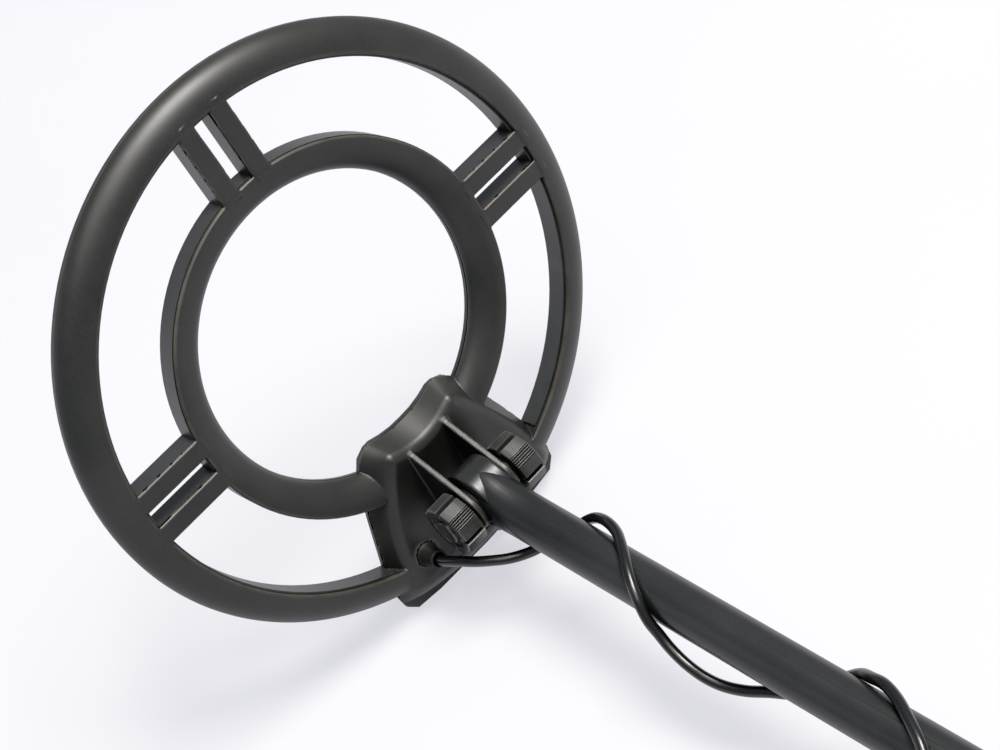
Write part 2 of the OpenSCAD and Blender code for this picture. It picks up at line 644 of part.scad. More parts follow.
// Open-topped trough on a foot that straddles the rear section
module arm_cuff() color([0.11, 0.11, 0.12]) at_rear() {
    length = cuff_end - cuff_x;
    difference() {
        union() {
            translate([0, 0, cuff_z]) along_x(cuff_x, cuff_end, 46);
            translate([cuff_x, -15, 3]) cube([length, 30, 18]);
        }
        translate([0, 0, cuff_z]) along_x(cuff_x - 1, cuff_end + 1, 42.5);
        along_x(140, 250, tube_bore);
        translate([cuff_x - 1, -60, 84]) cube([length + 2, 120, 40]);
        translate([cuff_x - 1, -10.2, -1]) cube([length + 2, 20.4, 6]);
        at_cuff_bolts() cylinder(h = 40, r = 2.65);
        for (side = sides) translate([192.5, side * 44.25, 74]) cube([28, 12, 4], center = true);
    }
}
module cuff_bolts() color([0.6, 0.6, 0.62]) at_rear() at_cuff_bolts() difference() {
    union() {
        translate([0, 0, -20]) cylinder(h = 40.1, r = 2.5);
        translate([0, 0, 20.05]) cylinder(h = 3, r = 5);
    }
    translate([0, 0, 21.6]) cylinder(h = 3, r = 1.9, $fn = 6);
}
module cuff_nuts() color([0.6, 0.6, 0.62]) at_rear() at_cuff_bolts()
    translate([0, 0, -18.6]) difference() {
        cylinder(h = 4, r = 4.9, $fn = 6);
        translate([0, 0, -1]) cylinder(h = 8, r = 2.5 + fit);
    }
module cuff_pad() color([0.15, 0.15, 0.16]) at_rear() difference() {
    translate([0, 0, cuff_z]) along_x(153, 232, 42.4);
    translate([0, 0, cuff_z]) along_x(152, 233, 38.6);
    translate([150, -60, 82]) cube([90, 120, 60]);
    at_cuff_bolts() translate([0, 0, 10]) cylinder(h = 20, r = 6);
}
module cuff_strap() color([0.07, 0.07, 0.08]) at_rear() difference() {
    translate([0, 0, 70]) along_x(180, 205, 49.8);
    translate([0, 0, 70]) along_x(179, 206, 47.8);
    translate([170, -60, 0]) cube([40, 120, 69.8]);
}

module stand_bracket() color([0.1, 0.1, 0.1]) at_rear() difference() {
    union() {
        along_x(stand_x - 14, stand_x + 14, 18.5);
        translate([stand_x - 12, -15, -30]) cube([24, 30, 22]);
    }
    along_x(100, 140, tube_bore);
    translate([stand_x, 0, stand_z]) along_y(-20, 20, leg_r + fit);
}
module stand_leg() color([0.3, 0.3, 0.32]) at_stand() union() {
    along_y(-leg_y, leg_y, leg_r);
    for (side = sides) {
        translate([0, side * leg_y, 0]) sphere(r = 3.06, $fn = small_fn);
        at_leg(side) translate([0, 0, -leg_l]) cylinder(h = leg_l, r = leg_r);
    }
}
module stand_feet() color([0.08, 0.08, 0.08]) at_stand() for (side = sides) difference() {
    union() {
        translate([0, side * foot_y, -stand_h]) cylinder(h = 5, r = 6.5);
        translate([0, side * foot_y, -stand_h + 4.9]) cylinder(h = 2.8, r1 = 6.4, r2 = 5.4);
        at_leg(side) translate([0, 0, -leg_l]) cylinder(h = 16, r = 4.6);
    }
    at_leg(side) translate([0, 0, -leg_l - slip]) cylinder(h = 30, r = leg_r + slip);
}

module end_cap() color([0.07, 0.07, 0.07]) at_rear() union() {
    along_x(rear_l + slip, rear_l + 4, 14.4);
    along_x(rear_l - 18, rear_l + 0.1, 12);
}

coil_cover();
coil_tray();
transmit_winding();
receive_winding();
bucking_winding();
junction_board();
cable_gland();
coil_cable();
friction_washers();
pivot_bolt();
knob_bolt_side();
knob_nut_side();
knob_insert();
rod_lug();
lower_rod();
rod_cable();
lock_collar();
lock_bush();
middle_tube();
snap_button();
upper_tube();
hand_grip();
shaft_cable();
cable_wraps();
box_saddle();
saddle_screws();
control_box();
control_panel();
panel_screws();
main_board();
potentiometers();
tuning_knob();
sensitivity_knob();
mode_knob();
pinpoint_button();
button_switch();
power_lever();
power_switch();
meter_case();
meter_dial();
meter_needle();
meter_window();
speaker();
batteries();
battery_contacts();
battery_door();
headphone_jack();
cable_socket();
cable_plug();
arm_cuff();
cuff_pad();
cuff_strap();
cuff_bolts();
cuff_nuts();
stand_bracket();
stand_leg();
stand_feet();
end_cap();
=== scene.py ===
"""A metal detector: ring coil, tilting rod, bent shaft with control box, grip and arm cuff.

The coil lies on the floor around the world origin. The lower rod and the shaft run along +X
from the tilt pivot, with Y across and Z up. Local sizes are in millimetres, meshes in metres.
"""

import bpy
import json
import math
import numpy as np
from mathutils import Matrix, Vector

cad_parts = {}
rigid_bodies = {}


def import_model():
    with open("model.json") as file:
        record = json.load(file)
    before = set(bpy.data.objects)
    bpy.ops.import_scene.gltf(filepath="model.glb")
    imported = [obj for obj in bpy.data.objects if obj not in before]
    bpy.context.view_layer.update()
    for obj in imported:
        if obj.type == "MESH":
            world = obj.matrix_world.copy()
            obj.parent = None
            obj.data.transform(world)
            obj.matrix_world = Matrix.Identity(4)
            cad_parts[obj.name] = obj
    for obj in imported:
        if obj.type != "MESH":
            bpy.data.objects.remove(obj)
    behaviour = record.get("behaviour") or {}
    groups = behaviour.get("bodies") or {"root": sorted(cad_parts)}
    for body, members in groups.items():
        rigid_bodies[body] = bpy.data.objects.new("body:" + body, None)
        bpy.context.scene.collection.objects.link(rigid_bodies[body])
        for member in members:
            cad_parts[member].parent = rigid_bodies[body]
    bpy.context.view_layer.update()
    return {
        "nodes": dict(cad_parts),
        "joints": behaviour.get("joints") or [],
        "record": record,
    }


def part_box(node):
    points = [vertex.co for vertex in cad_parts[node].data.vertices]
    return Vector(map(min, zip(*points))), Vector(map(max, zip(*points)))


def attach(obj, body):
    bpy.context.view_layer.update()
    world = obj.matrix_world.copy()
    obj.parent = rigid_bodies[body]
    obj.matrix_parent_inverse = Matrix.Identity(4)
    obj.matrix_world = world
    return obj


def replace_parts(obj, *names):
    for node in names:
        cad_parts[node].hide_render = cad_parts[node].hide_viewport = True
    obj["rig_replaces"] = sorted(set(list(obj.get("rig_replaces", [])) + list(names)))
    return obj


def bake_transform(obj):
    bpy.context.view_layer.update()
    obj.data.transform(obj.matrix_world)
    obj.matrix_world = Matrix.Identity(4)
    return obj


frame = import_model()
SCENE = bpy.context.scene
RECORD = frame["record"]
SLOTS = {part["node"]: part["material_slot"] for part in RECORD["subparts"]}

# ---------------------------------------------------------------- local frames
PIVOT = np.array(next(j for j in frame["joints"] if j["name"] == "coil_tilt")["pos_m"], float)
SOLE = next((m for m in RECORD["mounts"] if m["name"] == "coil_sole"), RECORD["mounts"][0])
COIL_Z = -np.array(SOLE["axis"], float) / np.linalg.norm(SOLE["axis"])  # away from the ground
COIL_X = np.array([COIL_Z[2], 0.0, -COIL_Z[0]])                         # centre towards pivot
ACROSS = np.array([0, 1, 0])

# The shaft bends up into the grip, then over and down into the rear run; points are (x, z).
BEND_START = 735
BEND_RADIUS = 38
GRIP_LENGTH = 100
GRIP_ANGLE = math.radians(60)
REAR_ANGLE = math.radians(10)
GRIP_START = np.array([BEND_START + BEND_RADIUS * math.sin(GRIP_ANGLE),
                       BEND_RADIUS * (1 - math.cos(GRIP_ANGLE))])
GRIP_END = GRIP_START + GRIP_LENGTH * np.array([math.cos(GRIP_ANGLE), math.sin(GRIP_ANGLE)])
TOP_BEND = GRIP_END + BEND_RADIUS * np.array([math.sin(GRIP_ANGLE), -math.cos(GRIP_ANGLE)])
REAR_START = TOP_BEND + BEND_RADIUS * np.array([math.sin(REAR_ANGLE), math.cos(REAR_ANGLE)])

# Lower and upper edge of the control panel's face, (x, z)
PANEL_LOW = np.array([718.0, 38.0])
PANEL_HIGH = np.array([666.0, 108.0])
PANEL_MID = (PANEL_LOW + PANEL_HIGH) / 2
PANEL_ANGLE = math.atan2(PANEL_LOW[0] - PANEL_HIGH[0], PANEL_HIGH[1] - PANEL_LOW[1])


def rows(points):
    return np.atleast_2d(np.asarray(points, float))


def coil_axes(vectors):
    """Turn vectors from the coil's axes to the world's."""
    vectors = rows(vectors)
    return vectors[:, :1] * COIL_X + vectors[:, 1:2] * ACROSS + vectors[:, 2:3] * COIL_Z


def coil(points):
    return coil_axes(points) / 1000


def shaft(points):
    return PIVOT + rows(points) / 1000


def pivot(points):
    """Coil axes with the tilt pivot as origin."""
    return PIVOT + coil(points)


def in_plane(points, origin, angle):
    """Shaft frame moved to origin (x, z) and pitched up by angle."""
    points = rows(points)
    x = origin[0] + points[:, 0] * math.cos(angle) + points[:, 2] * -math.sin(angle)
    z = origin[1] + points[:, 0] * math.sin(angle) + points[:, 2] * math.cos(angle)
    return shaft(np.stack([x, points[:, 1], z], 1))


def rear(points):
    return in_plane(points, REAR_START, -REAR_ANGLE)


def grip(points):
    return in_plane(points, GRIP_START, GRIP_ANGLE)


def panel(points):
    """Panel face: x across, y up the face, z out of it."""
    points = rows(points)
    out = np.array([math.cos(PANEL_ANGLE), 0, math.sin(PANEL_ANGLE)])
    up = np.array([-math.sin(PANEL_ANGLE), 0, math.cos(PANEL_ANGLE)])
    middle = np.array([PANEL_MID[0], 0, PANEL_MID[1]])
    return shaft(middle + points[:, :1] * ACROSS + points[:, 1:2] * up + points[:, 2:3] * out)


# ---------------------------------------------------------------- mesh helpers
def link_mesh(name, mesh):
    obj = bpy.data.objects.new(name, mesh)
    SCENE.collection.objects.link(obj)
    return obj


def make(name, shape, body, slot, smooth=True, normals=None, angle=None):
    """Object from (verts, faces); angle in degrees marks sharper edges as sharp."""
    verts, faces = shape
    mesh = bpy.data.meshes.new(name)
    if isinstance(faces, np.ndarray):
        count, sides = faces.shape
        mesh.vertices.add(len(verts))
        mesh.vertices.foreach_set("co", verts.astype(np.float32).ravel())
        mesh.loops.add(count * sides)
        mesh.loops.foreach_set("vertex_index", faces.astype(np.int32).ravel())
        mesh.polygons.add(count)
        starts = np.arange(0, count * sides, sides, dtype=np.int32)
        mesh.polygons.foreach_set("loop_start", starts)
        mesh.polygons.foreach_set("loop_total", np.full(count, sides, np.int32))
        mesh.update(calc_edges=True)
        mesh.validate()
    else:
        mesh.from_pydata(verts.tolist(), [], faces)
    mesh.update()
    mesh.polygons.foreach_set("use_smooth", np.full(len(mesh.polygons), smooth))
    if normals is not None:
        mesh.normals_split_custom_set_from_vertices([tuple(n) for n in normals])
    obj = link_mesh(name, mesh)
    if angle is not None:
        mesh.set_sharp_from_angle(angle=math.radians(angle))
    mesh.materials.append(material(slot))
    if body:
        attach(obj, body)
    return obj


def circle(count):
    return np.linspace(0, 2 * math.pi, count, endpoint=False)


def ring(axis, at, radius, angles):
    """Ring of points about local axis 'x', 'y' or 'z', at a place along it."""
    columns = [radius * np.cos(angles), radius * np.sin(angles)]
    columns.insert("xyz".index(axis), np.broadcast_to(at, angles.shape))
    return np.stack(columns, 1)


def around(x, angle, radius, centre_z=0.0):
    """Point on a circle about a line parallel to x; angle in radians from +Y to +Z."""
    return x, radius * math.cos(angle), centre_z + radius * math.sin(angle)


def outward(verts, faces):
    """Flips all faces when the solid is inside out."""
    volume = 0.0
    centre = verts.mean(0)
    for face in faces:
        fan = verts[list(face)] - centre
        for i in range(1, len(face) - 1):
            volume += np.dot(fan[0], np.cross(fan[i], fan[i + 1]))
    if volume < 0:
        faces = [tuple(reversed(face)) for face in faces]
    return faces


def solid(rings, place=np.asarray, closed=False):
    """Solid through rings of equal count; capped, or closed last ring to first."""
    count = len(rings[0])
    faces = []
    for i in range(len(rings) if closed else len(rings) - 1):
        start = i * count
        after = (i + 1) % len(rings) * count
        for j in range(count):
            k = (j + 1) % count
            faces.append((start + j, start + k, after + k, after + j))
    if not closed:
        faces.append(tuple(range(count - 1, -1, -1)))
        faces.append(tuple((len(rings) - 1) * count + i for i in range(count)))
    verts = place(np.concatenate(rings))
    return verts, outward(verts, faces)


def smooth_curve(points, step=1.3):
    """Centripetal Catmull-Rom curve through points, softened and resampled at about step."""
    points = np.asarray(points, float)
    padded = np.vstack([2 * points[0] - points[1], points, 2 * points[-1] - points[-2]])
    curve = []
    for i in range(1, len(padded) - 2):
        p0, p1, p2, p3 = padded[i - 1:i + 3]
        count = max(2, int(np.linalg.norm(p2 - p1) / 0.4))
        t0 = 0.0
        t1 = t0 + np.linalg.norm(p1 - p0) ** 0.5
        t2 = t1 + np.linalg.norm(p2 - p1) ** 0.5
        t3 = t2 + np.linalg.norm(p3 - p2) ** 0.5
        for t in np.linspace(t1, t2, count, endpoint=False):
            a1 = (t1 - t) / (t1 - t0) * p0 + (t - t0) / (t1 - t0) * p1
            a2 = (t2 - t) / (t2 - t1) * p1 + (t - t1) / (t2 - t1) * p2
            a3 = (t3 - t) / (t3 - t2) * p2 + (t - t2) / (t3 - t2) * p3
            b1 = (t2 - t) / (t2 - t0) * a1 + (t - t0) / (t2 - t0) * a2
            b2 = (t3 - t) / (t3 - t1) * a2 + (t - t1) / (t3 - t1) * a3
            curve.append((t2 - t) / (t2 - t1) * b1 + (t - t1) / (t2 - t1) * b2)
    curve.append(points[-1])
    curve = np.array(curve)
    for _ in range(3):
        curve[1:-1] = 0.25 * curve[:-2] + 0.5 * curve[1:-1] + 0.25 * curve[2:]
    run = np.concatenate([[0], np.cumsum(np.linalg.norm(np.diff(curve, axis=0), axis=1))])
    even = np.linspace(0, run[-1], max(4, int(run[-1] / step)))
    return np.stack([np.interp(even, run, curve[:, k]) for k in range(3)], 1)


def sweep(path, radius, sides):
    """Capped tube along a path, its rings turned as little as possible."""
    tangents = np.gradient(path, axis=0)
    tangents /= np.linalg.norm(tangents, axis=1)[:, None]
    side = np.cross(tangents[0], [0.3, 0.2, 0.9])
    side /= np.linalg.norm(side)
    angles = circle(sides)
    rings = []
    for point, tangent in zip(path, tangents):
        side = side - tangent * np.dot(side, tangent)
        side /= np.linalg.norm(side)
        other = np.cross(tangent, side)
        offset = np.cos(angles)[:, None] * side + np.sin(angles)[:, None] * other
        rings.append(point + radius * offset)
    return solid(rings)


def panel_prism(outline, low, high):
    """Polygon in the panel's x, y, extruded between two heights off its face."""
    outline = np.asarray(outline, float)
    n = len(outline)
    layers = [np.column_stack([outline, np.full(n, height)]) for height in (low, high)]
    verts = panel(np.vstack(layers))
    faces = [tuple(range(n - 1, -1, -1)), tuple(range(n, 2 * n))]
    faces += [(i, (i + 1) % n, n + (i + 1) % n, n + i) for i in range(n)]
    return verts, outward(verts, faces)


def join(shapes):
    all_verts, all_faces = [], []
    offset = 0
    for verts, faces in shapes:
        all_verts.append(verts)
        all_faces += [tuple(i + offset for i in face) for face in faces]
        offset += len(verts)
    return np.vstack(all_verts), all_faces


# ---------------------------------------------------------------- materials
def tint(colour, factor):
    return tuple(c * factor for c in colour)


class Shader:
    """Principled material textured in object coordinates; texture sizes are in mm."""

    def __init__(self, name):
        self.material = bpy.data.materials.new(name)
        self.material.use_nodes = True
        self.tree = self.material.node_tree
        self.tree.nodes.clear()
        output = self.node("ShaderNodeOutputMaterial")
        self.principled = self.node("ShaderNodeBsdfPrincipled")
        self.feed(output.inputs[0], self.principled.outputs[0])
        self.coords = self.node("ShaderNodeTexCoord").outputs["Object"]

    def node(self, kind, **settings):
        node = self.tree.nodes.new(kind)
        for key, value in settings.items():
            setattr(node, key, value)
        return node

    def feed(self, socket, value):
        """Set a socket to a number or an RGB colour, or link it to an output."""
        if isinstance(value, (int, float)):
            socket.default_value = value
        elif isinstance(value, tuple):
            socket.default_value = (*value, 1)
        else:
            self.tree.links.new(value, socket)

    def noise(self, size, detail, rough, vector=None):
        noise = self.node("ShaderNodeTexNoise")
        noise.inputs["Scale"].default_value = 1000.0 / size
        noise.inputs["Detail"].default_value = detail
        noise.inputs["Roughness"].default_value = rough
        self.feed(noise.inputs["Vector"], vector or self.coords)
        return noise.outputs["Fac"]

    def mapping(self, key, value):
        """Object coordinates with 'Scale' or 'Rotation' applied."""
        mapping = self.node("ShaderNodeMapping")
        mapping.inputs[key].default_value = value
        self.feed(mapping.inputs["Vector"], self.coords)
        return mapping.outputs[0]

    def ramp(self, factor, start, end, low=0.0, high=1.0):
        """Grey ramp from low at start to high at end."""
        ramp = self.node("ShaderNodeValToRGB")
        for stop, place, grey in zip(ramp.color_ramp.elements, (start, end), (low, high)):
            stop.position = place
            stop.color = (grey, grey, grey, 1)
        self.feed(ramp.inputs[0], factor)
        return ramp.outputs[0]

    def math(self, operation, *values, clamp=False):
        node = self.node("ShaderNodeMath", operation=operation, use_clamp=clamp)
        for socket, value in zip(node.inputs, values):
            self.feed(socket, value)
        return node.outputs[0]

    def times(self, first, second):
        return self.math("MULTIPLY", first, second)

    def mix(self, factor, first, second):
        mix = self.node("ShaderNodeMix", data_type="RGBA", blend_type="MIX")
        for index, value in ((0, factor), (6, first), (7, second)):
            self.feed(mix.inputs[index], value)
        return mix.outputs[2]

    def bump(self, height, depth, strength=1.0, under=None):
        bump = self.node("ShaderNodeBump")
        bump.inputs["Strength"].default_value = strength
        bump.inputs["Distance"].default_value = depth / 1000
        self.feed(bump.inputs["Height"], height)
        if under is not None:
            self.feed(bump.inputs["Normal"], under)
        return bump.outputs[0]

    def set(self, **values):
        """Principled inputs by name, with underscores for spaces."""
        for key, value in values.items():
            self.feed(self.principled.inputs[key.replace("_", " ")], value)


def plastic(name, base, rough, grain_size=0.35, grain_depth=0.02, edge=None, edge_wear_and_highlight=0.0,
            vary=0.25, specular=0.5, coat=0.0, coat_rough=0.2, scuff=0.35,
            wave_size=14.0, wave_depth=0.05):
    """Moulded plastic: mottled colour, fine grain, sparse scuffs and optional lighter edges,
    partly wear and partly a painted highlight.
    """
    mat = Shader(name)
    mottle = mat.ramp(mat.noise(size=38, detail=3, rough=0.6), start=0.32, end=0.68)
    colour = mat.mix(mottle, tint(base, 1 - vary), tint(base, 1 + vary))
    specks = mat.noise(size=grain_size * 1.6, detail=2, rough=0.6)
    specks = mat.times(mat.ramp(specks, start=0.45, end=0.75), 0.35)
    colour = mat.mix(specks, colour, tint(base, 1.9))
    # handling marks: noise stretched two ways and cut to sparse streaks
    along = mat.noise(size=2.2, detail=4, rough=0.7,
                      vector=mat.mapping("Scale", (0.12, 1.0, 0.55)))
    across = mat.noise(size=2.0, detail=4, rough=0.7,
                       vector=mat.mapping("Scale", (1.0, 0.14, 0.8)))
    marks = mat.math("MAXIMUM", mat.ramp(along, start=0.66, end=0.74),
                     mat.ramp(across, start=0.68, end=0.76))
    patches = mat.ramp(mat.noise(size=60, detail=2, rough=0.5), start=0.42, end=0.62)
    marks = mat.times(mat.times(marks, patches), scuff)
    colour = mat.mix(marks, colour, tuple(min(1, c * 2.6 + 0.012) for c in base))
    # convex edges take the edge colour: partly wear, partly a painted highlight along rounded
    # edges
    if edge is not None:
        pointiness = mat.node("ShaderNodeNewGeometry").outputs["Pointiness"]
        wear_and_highlight = mat.times(mat.ramp(pointiness, start=0.52, end=0.60), edge_wear_and_highlight)
        breaks = mat.noise(size=9, detail=3, rough=0.6)
        wear_and_highlight = mat.times(wear_and_highlight, mat.ramp(breaks, start=0.3, end=0.7, low=0.35))
        colour = mat.mix(wear_and_highlight, colour, edge)
    smears = mat.times(mat.noise(size=22, detail=4, rough=0.6), 0.12)
    roughness = mat.math("ADD", rough - 0.06, smears)
    roughness = mat.math("ADD", roughness, mat.times(marks, 0.18), clamp=True)
    normal = mat.bump(mat.noise(size=grain_size, detail=2, rough=0.5), depth=grain_depth)
    waves = mat.noise(size=wave_size, detail=2, rough=0.4)
    normal = mat.bump(waves, depth=wave_depth, under=normal)
    mat.set(Base_Color=colour, Roughness=roughness, Normal=normal, Specular_IOR_Level=specular)
    if coat:
        mat.set(Coat_Weight=coat, Coat_Roughness=coat_rough)
    return mat.material


def metal(name, base, rough, dark):
    """Bare metal with darker blotches, no relief yet. Returns the shader and its fine noise."""
    mat = Shader(name)
    cloud = mat.ramp(mat.noise(size=12, detail=4, rough=0.6), start=0.3, end=0.7)
    colour = mat.mix(cloud, tint(base, 0.82), base)
    blotch = mat.ramp(mat.noise(size=5, detail=5, rough=0.7), start=0.55, end=0.75)
    colour = mat.mix(mat.times(blotch, 0.5), colour, dark)
    fine = mat.noise(size=0.5, detail=3, rough=0.6, vector=mat.mapping("Scale", (1, 1, 1)))
    roughness = mat.math("ADD", rough - 0.08, mat.times(fine, 0.16), clamp=True)
    mat.set(Base_Color=colour, Roughness=roughness, Metallic=1.0)
    return mat, fine


def plain_metal(name, **settings):
    mat, fine = metal(name, **settings)
    mat.set(Normal=mat.bump(fine, depth=0.012))
    return mat.material


def copper(name, **settings):
    """Copper with fine concentric ridges."""
    mat, _ = metal(name, **settings)
    wave = mat.node("ShaderNodeTexWave", wave_type="RINGS", rings_direction="SPHERICAL")
    wave.inputs["Scale"].default_value = 420.0
    wave.inputs["Distortion"].default_value = 1.5
    mat.feed(wave.inputs["Vector"], mat.coords)
    mat.set(Normal=mat.bump(wave.outputs["Fac"], depth=0.15, strength=0.9))
    return mat.material


def anodised(name):
    """Dark anodised tube with lines and scratches drawn out along X."""
    mat = Shader(name)
    cloud = mat.noise(size=45, detail=3, rough=0.6)
    colour = mat.mix(cloud, (0.018, 0.018, 0.020), (0.034, 0.034, 0.037))
    lines = mat.noise(size=0.7, detail=3, rough=0.65,
                      vector=mat.mapping("Scale", (0.02, 1.0, 1.0)))
    scratches = mat.noise(size=3.0, detail=4, rough=0.7,
                          vector=mat.mapping("Scale", (0.10, 1.0, 1.0)))
    scratches = mat.times(mat.ramp(scratches, start=0.66, end=0.74), 0.35)
    colour = mat.mix(scratches, colour, (0.16, 0.16, 0.165))
    roughness = mat.math("ADD", 0.29, mat.times(lines, 0.14), clamp=True)
    mat.set(Base_Color=colour, Roughness=roughness, Metallic=0.55,
            Normal=mat.bump(lines, depth=0.008))
    return mat.material


def foam(name):
    """Open-cell foam with dusty patches."""
    mat = Shader(name)
    voronoi = mat.node("ShaderNodeTexVoronoi", feature="F1")
    voronoi.inputs["Scale"].default_value = 1000 / 0.75
    mat.feed(voronoi.inputs["Vector"], mat.coords)
    cell = mat.ramp(voronoi.outputs["Distance"], start=0.15, end=0.6)
    colour = mat.mix(cell, (0.006, 0.006, 0.006), (0.026, 0.026, 0.026))
    dust = mat.ramp(mat.noise(size=16, detail=4, rough=0.6), start=0.5, end=0.72)
    colour = mat.mix(mat.times(dust, 0.4), colour, (0.045, 0.043, 0.04))
    normal = mat.bump(cell, depth=0.10, strength=0.8)
    normal = mat.bump(mat.noise(size=4, detail=3, rough=0.6), depth=0.12, under=normal)
    mat.set(Base_Color=colour, Roughness=0.86, Normal=normal, Sheen_Weight=0.25,
            Specular_IOR_Level=0.25)
    return mat.material


def weave(name, base, pitch, rotation, depth, sheen=0.35):
    """Woven cloth: crossed waves at the yarn's pitch, seen through noise."""
    mat = Shader(name)
    axes = mat.node("ShaderNodeSeparateXYZ")
    mat.feed(axes.inputs[0], mat.mapping("Rotation", rotation))
    wave_number = 2 * math.pi / (pitch / 1000)
    wave_x, wave_y, wave_z = [mat.math("SINE", mat.times(axes.outputs[i], wave_number))
                              for i in range(3)]
    yarn = mat.times(mat.times(wave_x, mat.math("ADD", wave_y, wave_z)), 0.25)
    yarn = mat.math("ADD", yarn, 0.5, clamp=True)
    fuzz = mat.noise(size=0.35, detail=3, rough=0.7)
    yarn = mat.math("ADD", mat.times(yarn, 0.8), mat.times(fuzz, 0.2))
    colour = mat.mix(yarn, tint(base, 0.5), tint(base, 2.2))
    fade = mat.ramp(mat.noise(size=25, detail=4, rough=0.65), start=0.5, end=0.75)
    colour = mat.mix(mat.times(fade, 0.35), colour, tuple(min(1, c * 3) for c in base))
    normal = mat.bump(yarn, depth=depth, strength=0.9)
    normal = mat.bump(mat.noise(size=7, detail=3, rough=0.5), depth=0.35, under=normal)
    mat.set(Base_Color=colour, Roughness=0.88, Normal=normal, Sheen_Weight=sheen,
            Sheen_Roughness=0.45, Specular_IOR_Level=0.25)
    return mat.material


def window(name):
    """Clear, faintly smeared window."""
    mat = Shader(name)
    smears = mat.ramp(mat.noise(size=18, detail=4, rough=0.6), start=0.35, end=0.75,
                      low=0.02, high=0.10)
    mat.set(Base_Color=(0.93, 0.95, 0.97), Roughness=smears,
            Normal=mat.bump(mat.noise(size=30, detail=2, rough=0.4), depth=0.03),
            Transmission_Weight=1.0, IOR=1.05, Coat_Weight=0.6, Coat_Roughness=0.04)
    return mat.material


RED = dict(base=(0.42, 0.018, 0.012), rough=0.30, grain_size=0.5, grain_depth=0.01,
           edge=(0.6, 0.12, 0.08), edge_wear_and_highlight=0.3, vary=0.12, scuff=0.15)

